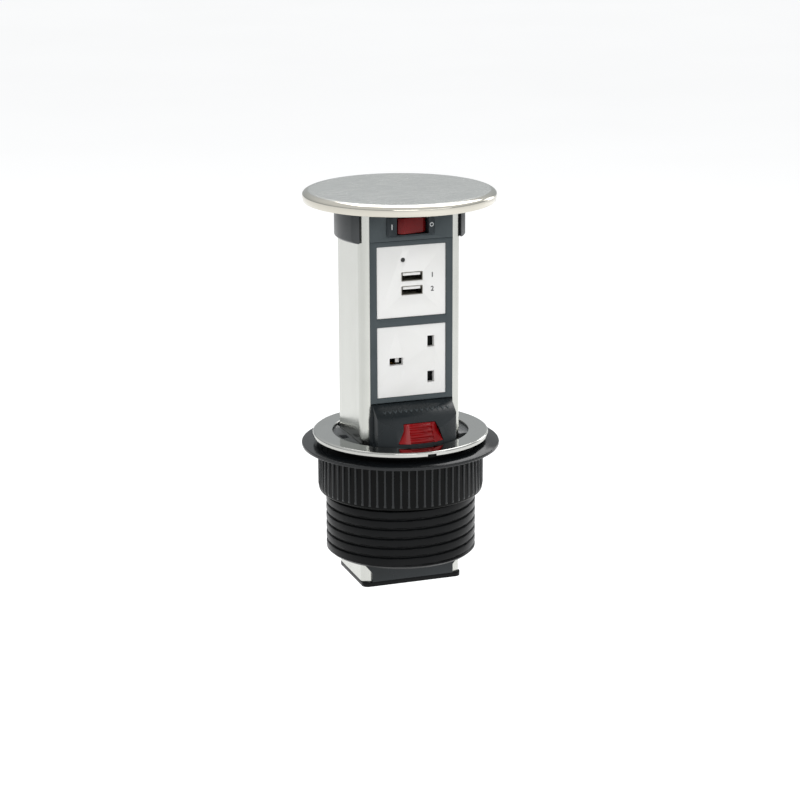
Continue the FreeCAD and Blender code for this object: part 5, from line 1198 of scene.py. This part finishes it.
@dataclass(frozen=True)
class ReleaseHousing:
    """The bulging housing before the tower, its button and the tower's guides. Sizes in millimetres."""

    slope_top: Point2 = (-21.5, 27.34)
    slope_low: Point2 = (-40.396, 12.5)
    chevron_count: int = 13
    chevron_z: float = 23.6
    chevron_start: float = -19.6
    chevron_step: float = 3.4
    chevron_half: float = 1.1
    chevron_high: float = 1.9
    chevron_bar: float = 0.675
    chevron_rise: float = 0.35
    chevron_root: float = 0.1
    chevron_wall: float = 0.6
    chevron_top: float = 0.8
    button_z: Point2 = (5.7, 16.7)
    button_half: Point2 = (14.2, 9.9)
    face_half: Point2 = (7.6, 7.1)
    face_r: Point2 = (41.8, 36.9)
    facet_slant: float = 0.5
    rib_count: int = 4
    rib_rows: int = 24
    rib_deep: float = 1.0
    button_back_y: float = -33.0
    flange_r: Point2 = (36.1, 37.696)
    flange_half: float = 16.7
    flange_z: Point2 = (3.2, 12.5)
    flange_steps: int = 24
    stem_r: float = 2.0
    stem_z: float = 10.0
    stem_y: Point2 = (-36.9, -30.1)

    def build(self, stage: Stage) -> None:
        """Builds and places the housing's pieces.

        Args:
            stage: The frame's nodes.
        """
        stage.mould("release_housing", 0.4, "housing_plastic", HOUSING_ABS)
        button = joined("ribbed_release_button", (self.button_front(), self.button_back()))
        stage.keep(button, "release_button", "button_red", BUTTON_RED, "release_button")
        # The chevrons' lighter tone is a painted highlight on the raised marks
        stage.keep(self.chevrons(), "tower", "housing_plastic", HIGHLIGHT_EMBOSSED_ABS)
        for node, splits in (("side_guide_left", (-36.7,)), ("side_guide_right", ()), ("rear_guide", ())):
            stage.mould(node, 0.3, "black_plastic", BLOCK_ABS, splits=splits)

    def button_row(self, z: float, deep: float, columns: int = 12) -> list[Point3]:
        """One row of the button's front: a plain facet at each side of the ribbed face.

        Args:
            z: Height in millimetres.
            deep: How far the ribbed face lies back there.
            columns: Straight parts across the face.

        Returns:
            The row's points from left to right, in millimetres.
        """
        share = (z - self.button_z[0]) / (self.button_z[1] - self.button_z[0])
        half, face, radius = (low + share * (top - low)
                              for low, top in (self.button_half, self.face_half, self.face_r))
        edge_y = -math.sqrt(radius ** 2 - face ** 2)
        side_y = edge_y + self.facet_slant * (half - face)
        side = ((half, self.button_back_y, z), (half, side_y, z), (face, edge_y, z))
        across = [face * (2 * column / columns - 1) for column in range(columns + 1)]
        ribbed = ((x, deep - math.sqrt(radius ** 2 - x ** 2), z) for x in across)
        return [*((-x, y, up) for x, y, up in side), *ribbed, *reversed(side)]

    def button_front(self) -> Item:
        """The button's tapering block: a face with finger ribs between two plain facets.

        Returns:
            The closed block.
        """
        low, top = self.button_z
        count = self.rib_count * self.rib_rows
        shape = bmesh.new()
        rows = []
        for step in range(count + 1):
            deep = self.rib_deep * (0.5 + 0.5 * math.cos(2 * math.pi * step / self.rib_rows))
            rows.append(row(shape, self.button_row(low + (top - low) * step / count, deep)))
        bridge(shape, rows, capped=True)
        return shade(bevelled(finished("button_front", shape), 0.12, 50.0), 20.0)

    def button_back(self) -> Item:
        """The flange that keeps the button in its housing, and the stem that carries its spring.

        Returns:
            Both, behind the button's front.
        """
        (inner, outer), (low, high) = self.flange_r, self.flange_z
        section = ((inner, low), (outer, low), (outer, high), (inner, high))
        reach = math.asin(self.flange_half / outer)
        shape = bmesh.new()
        loops = []
        for step in range(self.flange_steps + 1):
            angle = reach * (2 * step / self.flange_steps - 1)
            loops.append(row(shape, ((radius * math.sin(angle), -radius * math.cos(angle), z)
                                     for radius, z in section)))
        bridge(shape, loops, capped=True)
        near, far = self.stem_y
        stem_r = self.stem_r * MM
        bmesh.ops.create_cone(shape, cap_ends=True, segments=32, radius1=stem_r, radius2=stem_r,
                              depth=(far - near) * MM, matrix=upright(0.0, (near + far) / 2, self.stem_z))
        return bevelled(finished("button_back", shape), 0.15)

    def chevrons(self) -> Item:
        """A row of small raised chevrons on the slope, which point down to the button.

        Returns:
            The row.
        """
        (top_y, top_z), (low_y, low_z) = self.slope_top, self.slope_low
        down = Vector((0.0, low_y - top_y, low_z - top_z)).normalized()
        out = Vector((0.0, down.z, -down.y))
        half, high, bar = self.chevron_half, self.chevron_high, self.chevron_bar
        flat = ((-half, 0.0), (0.0, high), (half, 0.0), (half, bar), (0.0, high + bar), (-half, bar))
        shape = bmesh.new()
        rise = self.chevron_rise
        layers = ((-self.chevron_root, 1.0), (rise * self.chevron_wall, 1.0), (rise, self.chevron_top))
        rings = [row(shape, (Vector((across * size, 0.0, 0.0)) + down * (fall * size) + out * height
                             for across, fall in flat))
                 for height, size in layers]
        bridge(shape, rings)
        for ring in (rings[0], rings[-1]):
            for corners in ((0, 1, 4, 5), (1, 2, 3, 4)):
                shape.faces.new([ring[index] for index in corners])
        start_y = top_y + (top_z - self.chevron_z) / (top_z - low_z) * (low_y - top_y)
        return grown(finished("raised_chevron", shape), repeat_tree(Repeat.LINE), HIGHLIGHT_EMBOSSED_ABS,
                     count=self.chevron_count, step=(self.chevron_step * MM, 0.0, 0.0),
                     start=(self.chevron_start * MM, start_y * MM, self.chevron_z * MM))


@dataclass(frozen=True)
class TowerFrame:
    """The extrusion with its base and the screws that hold its ends. Sizes in millimetres."""

    half_x: float = 27.77
    front_y: float = -13.4
    back_y: float = 22.0
    base_z: float = -89.5
    base_gap: float = 0.1
    port_x: float = 8.9
    head_high: float = 1.6
    head_r: float = 3.0
    shank_r: float = 1.6
    shank_long: float = 12.0
    point_in: float = 0.5
    point_long: float = 1.0
    # How far in from the head's rim and how far up each point of its crown lies
    crown: tuple[Point2, ...] = ((0.0, 0.0), (0.0, 0.5), (0.25, 1.0), (0.8, 1.4), (1.4, 1.6))
    cross_half: float = 0.42
    cross_arm: float = 1.25
    cross_deep: float = 0.9
    cross_taper: float = 0.8
    turn_spread: float = 1.4
    lid_seat_z: float = 152.0

    def build(self, stage: Stage) -> None:
        """Builds and places the frame's pieces.

        Args:
            stage: The frame's nodes.
        """
        stage.paint(TOWER_ALUMINIUM, "tower_profile")
        stage.mould("base_cap", 0.4, "black_plastic", BLACK_NYLON,
                    splits=(-self.half_x, -self.port_x, 0.0, self.port_x, self.half_x))
        seat_z = self.base_z + self.head_high + self.base_gap
        for name, height, way, node in (("pan_base_screws", seat_z, -1, "base_screws"),
                                        ("pan_lid_screws", self.lid_seat_z, 1, "lid_screws")):
            stage.keep(self.screws(name, height, way), "tower", "screw_steel", SCREW_ZINC, node)

    def screws(self, name: str, seat_z: float, way: int) -> Item:
        """Four cross-headed screws at the extrusion's ports.

        Args:
            name: Name of the piece.
            seat_z: Height that the heads rest on.
            way: 1 where the heads point up, -1 where they point down.

        Returns:
            The four screws.
        """
        middle_y = (self.front_y + self.back_y) / 2
        made = grown(self.screw(seat_z, way), repeat_tree(Repeat.GRID), SCREW_ZINC,
                     width=2 * self.half_x * MM, depth=(self.back_y - self.front_y) * MM,
                     middle=(0.0, middle_y * MM, 0.0), turn_spread=self.turn_spread)
        made.name = name
        return made

    def screw(self, seat_z: float, way: int, steps: int = 48) -> Item:
        """One screw on the axis: crowned head, cross recess and shank.

        Args:
            seat_z: Height that its head rests on.
            way: 1 where the head points up, -1 where it points down.
            steps: Straight parts round it.

        Returns:
            The screw.
        """
        half, arm = self.cross_half, self.cross_arm
        profile = ((0.0, -self.shank_long), (self.shank_r - self.point_in, -self.shank_long),
                   (self.shank_r, -self.shank_long + self.point_long), (self.shank_r, 0.0),
                   *((self.head_r - inwards, up) for inwards, up in self.crown))
        shape = bmesh.new()
        rings = turned(shape, [(across, seat_z + way * up) for across, up in profile], steps)
        bridge(shape, rings)
        corner = ((arm, half), (half, half), (half, arm))
        cross = [*corner, *((-x, y) for x, y in reversed(corner)), *((-x, -y) for x, y in corner),
                 *((x, -y) for x, y in reversed(corner))]
        ends = ((self.head_high, 1.0), (self.head_high - self.cross_deep, self.cross_taper))
        rim, floor = (row(shape, ((x * size, y * size, seat_z + way * up) for x, y in cross))
                      for up, size in ends)
        bridge(shape, (rim, floor))
        shape.faces.new(floor)
        edges = [shape.edges.get(pair) for loop in (rim, rings[-1])
                 for pair in zip(loop, loop[1:] + loop[:1])]
        bmesh.ops.triangle_fill(shape, use_beauty=True, edges=edges)
        return finished("cross_screw", shape, 30.0)


@dataclass(frozen=True)
class Innards:
    """What the tower holds inside: contacts, charger, terminals, wires and springs. Sizes in millimetres."""

    button_spring_y: Point2 = (-22.6, -36.1)
    button_spring_z: float = 10.0
    shutter_spring_x: Point2 = (6.25, -5.3)
    shutter_spring_y: float = -15.5
    shutter_spring_z: float = 48.62

    def build(self, stage: Stage) -> None:
        """Gives each inner solid its finish and copies the springs in spring steel.

        Args:
            stage: The frame's nodes.
        """
        for finish, nodes in (
            # Near black on the socket's inner moulding: painted shade in its apertures
            (INNER_SHADE_NYLON, ("socket_base",)),
            (SHEET_BRASS, ("live_contact", "neutral_contact", "earth_contact", "contact_terminals",
                           "breaker_terminals")),
            (SCREW_ZINC, ("contact_screws", "terminal_screws", "clamp_screws")),
            (BOARD_GREEN, ("usb_board",)),
            (WINDING_TAPE, ("usb_transformer",)),
            (CAN_SLEEVE, ("usb_capacitors",)),
            (BASE_NYLON, ("terminal_block",)),
            (BLACK_NYLON, ("cable_clamp",)),
            (WIRE_BROWN, ("live_wire",)),
            (WIRE_BLUE, ("neutral_wire",)),
            (WIRE_EARTH, ("earth_wire",)),
        ):
            stage.paint(finish, *nodes)
        stage.sprung("button_spring", "release_button",
                     *((0.0, y, self.button_spring_z) for y in self.button_spring_y))
        stage.sprung("shutter_spring", "socket_shutter",
                     *((x, self.shutter_spring_y, self.shutter_spring_z) for x in self.shutter_spring_x))


# Studio and main


@dataclass(frozen=True)
class Softbox:
    """One soft rectangular light, in metres and watts."""

    name: str
    at: Point3
    aim: Point3
    size: Point2
    power: float

    def build(self) -> None:
        """Hangs the light at its place, turned to the point that it faces."""
        data = bpy.data.lights.new(self.name, "AREA")
        data.shape = "RECTANGLE"
        data.size, data.size_y = self.size
        data.energy = self.power
        item = new_object(self.name, data)
        item.location = self.at
        item.rotation_euler = (Vector(self.aim) - Vector(self.at)).to_track_quat("-Z", "Y").to_euler()


@dataclass(frozen=True)
class Studio:
    """The pale floor, the soft lights and the camera. Places in metres."""

    camera_at: Point3 = (-0.451153, -1.280775, 0.398354)
    right: Point3 = (0.942896, -0.333068, -0.003590)
    up: Point3 = (0.092174, 0.250552, 0.963705)
    forward: Point3 = (0.320080, 0.909005, -0.266944)
    lens_mm: float = 102.43
    floor_z_mm: float = -235.8
    floor_reach_mm: float = 9000.0
    floor_thick_mm: float = 10.0
    room_low: str = "#b4b8ba"
    room_high: str = "#e8e9ea"
    room_rise: Point2 = (0.15, 0.75)
    lights: tuple[Softbox, ...] = (
        Softbox("overhead_softbox", (0.55, 0.85, 1.45), (0.0, 0.0, 0.1), (1.4, 1.0), 16.0),
        Softbox("front_softbox", (-0.35, -1.7, 1.0), (0.0, 0.0, 0.0), (0.9, 0.6), 4.0),
        Softbox("rear_softbox", (1.3, 0.6, 0.4), (0.0, 0.0, 0.0), (0.5, 0.8), 3.0),
        Softbox("table_light", (0.35, -1.0, 0.45), (0.3, -0.9, -0.24), (0.8, 0.5), 2.4),
    )

    def build(self) -> None:
        """Sets up floor, world, lights and camera."""
        self.floor()
        self.world()
        for light in self.lights:
            light.build()
        self.camera()

    def floor(self) -> None:
        """A pale floor that runs back past the view, low enough to show the tower pushed down."""
        shape = bmesh.new()
        reach = (-self.floor_reach_mm, self.floor_reach_mm)
        block(shape, reach, reach, (self.floor_z_mm - self.floor_thick_mm, self.floor_z_mm))
        floor = finished("pale_floor", shape)
        floor.data.materials.append(LIGHT_TABLE.material())

    def world(self) -> None:
        """A white room that is darker towards the horizon, which gives the steel its grey."""
        world = bpy.data.worlds.new("white_room")
        world.use_nodes = True
        tree = world.node_tree
        direction = add_node(tree, "ShaderNodeTexCoord").outputs["Generated"]
        height = add_node(tree, "ShaderNodeSeparateXYZ", {0: direction}).outputs["Z"]
        rise = ranged(tree, height, self.room_rise, (0.0, 1.0), smooth=True)
        tone = mixed(tree, rise, self.room_low, self.room_high)
        fill(tree.nodes["Background"], {"Color": tone, "Strength": 1.0})
        bpy.context.scene.world = world

    def camera(self) -> None:
        """The camera at the photograph's viewpoint."""
        data = bpy.data.cameras.new("front_camera")
        data.lens = self.lens_mm
        data.sensor_width = 36.0
        data.clip_start, data.clip_end = 0.05, 60.0
        turn = Matrix((self.right, self.up, tuple(-value for value in self.forward))).transposed()
        item = new_object("front_camera", data)
        item.matrix_world = Matrix.Translation(self.camera_at) @ turn.to_4x4()
        bpy.context.scene.camera = item


def main() -> None:
    """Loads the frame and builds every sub-assembly."""
    logging.basicConfig(level=logging.INFO, format="%(name)s %(message)s")
    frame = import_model()
    stage = Stage(frame["nodes"])
    for assembly in (WorktopFixing(), TowerFrame(), Lid(), TowerFront(), ReleaseHousing(), Innards()):
        LOG.info("building %s", type(assembly).__name__)
        assembly.build(stage)
    Studio().build()
    bpy.context.scene.view_settings.view_transform = "Standard"
    bpy.context.view_layer.update()


if __name__ == "__main__":
    main()
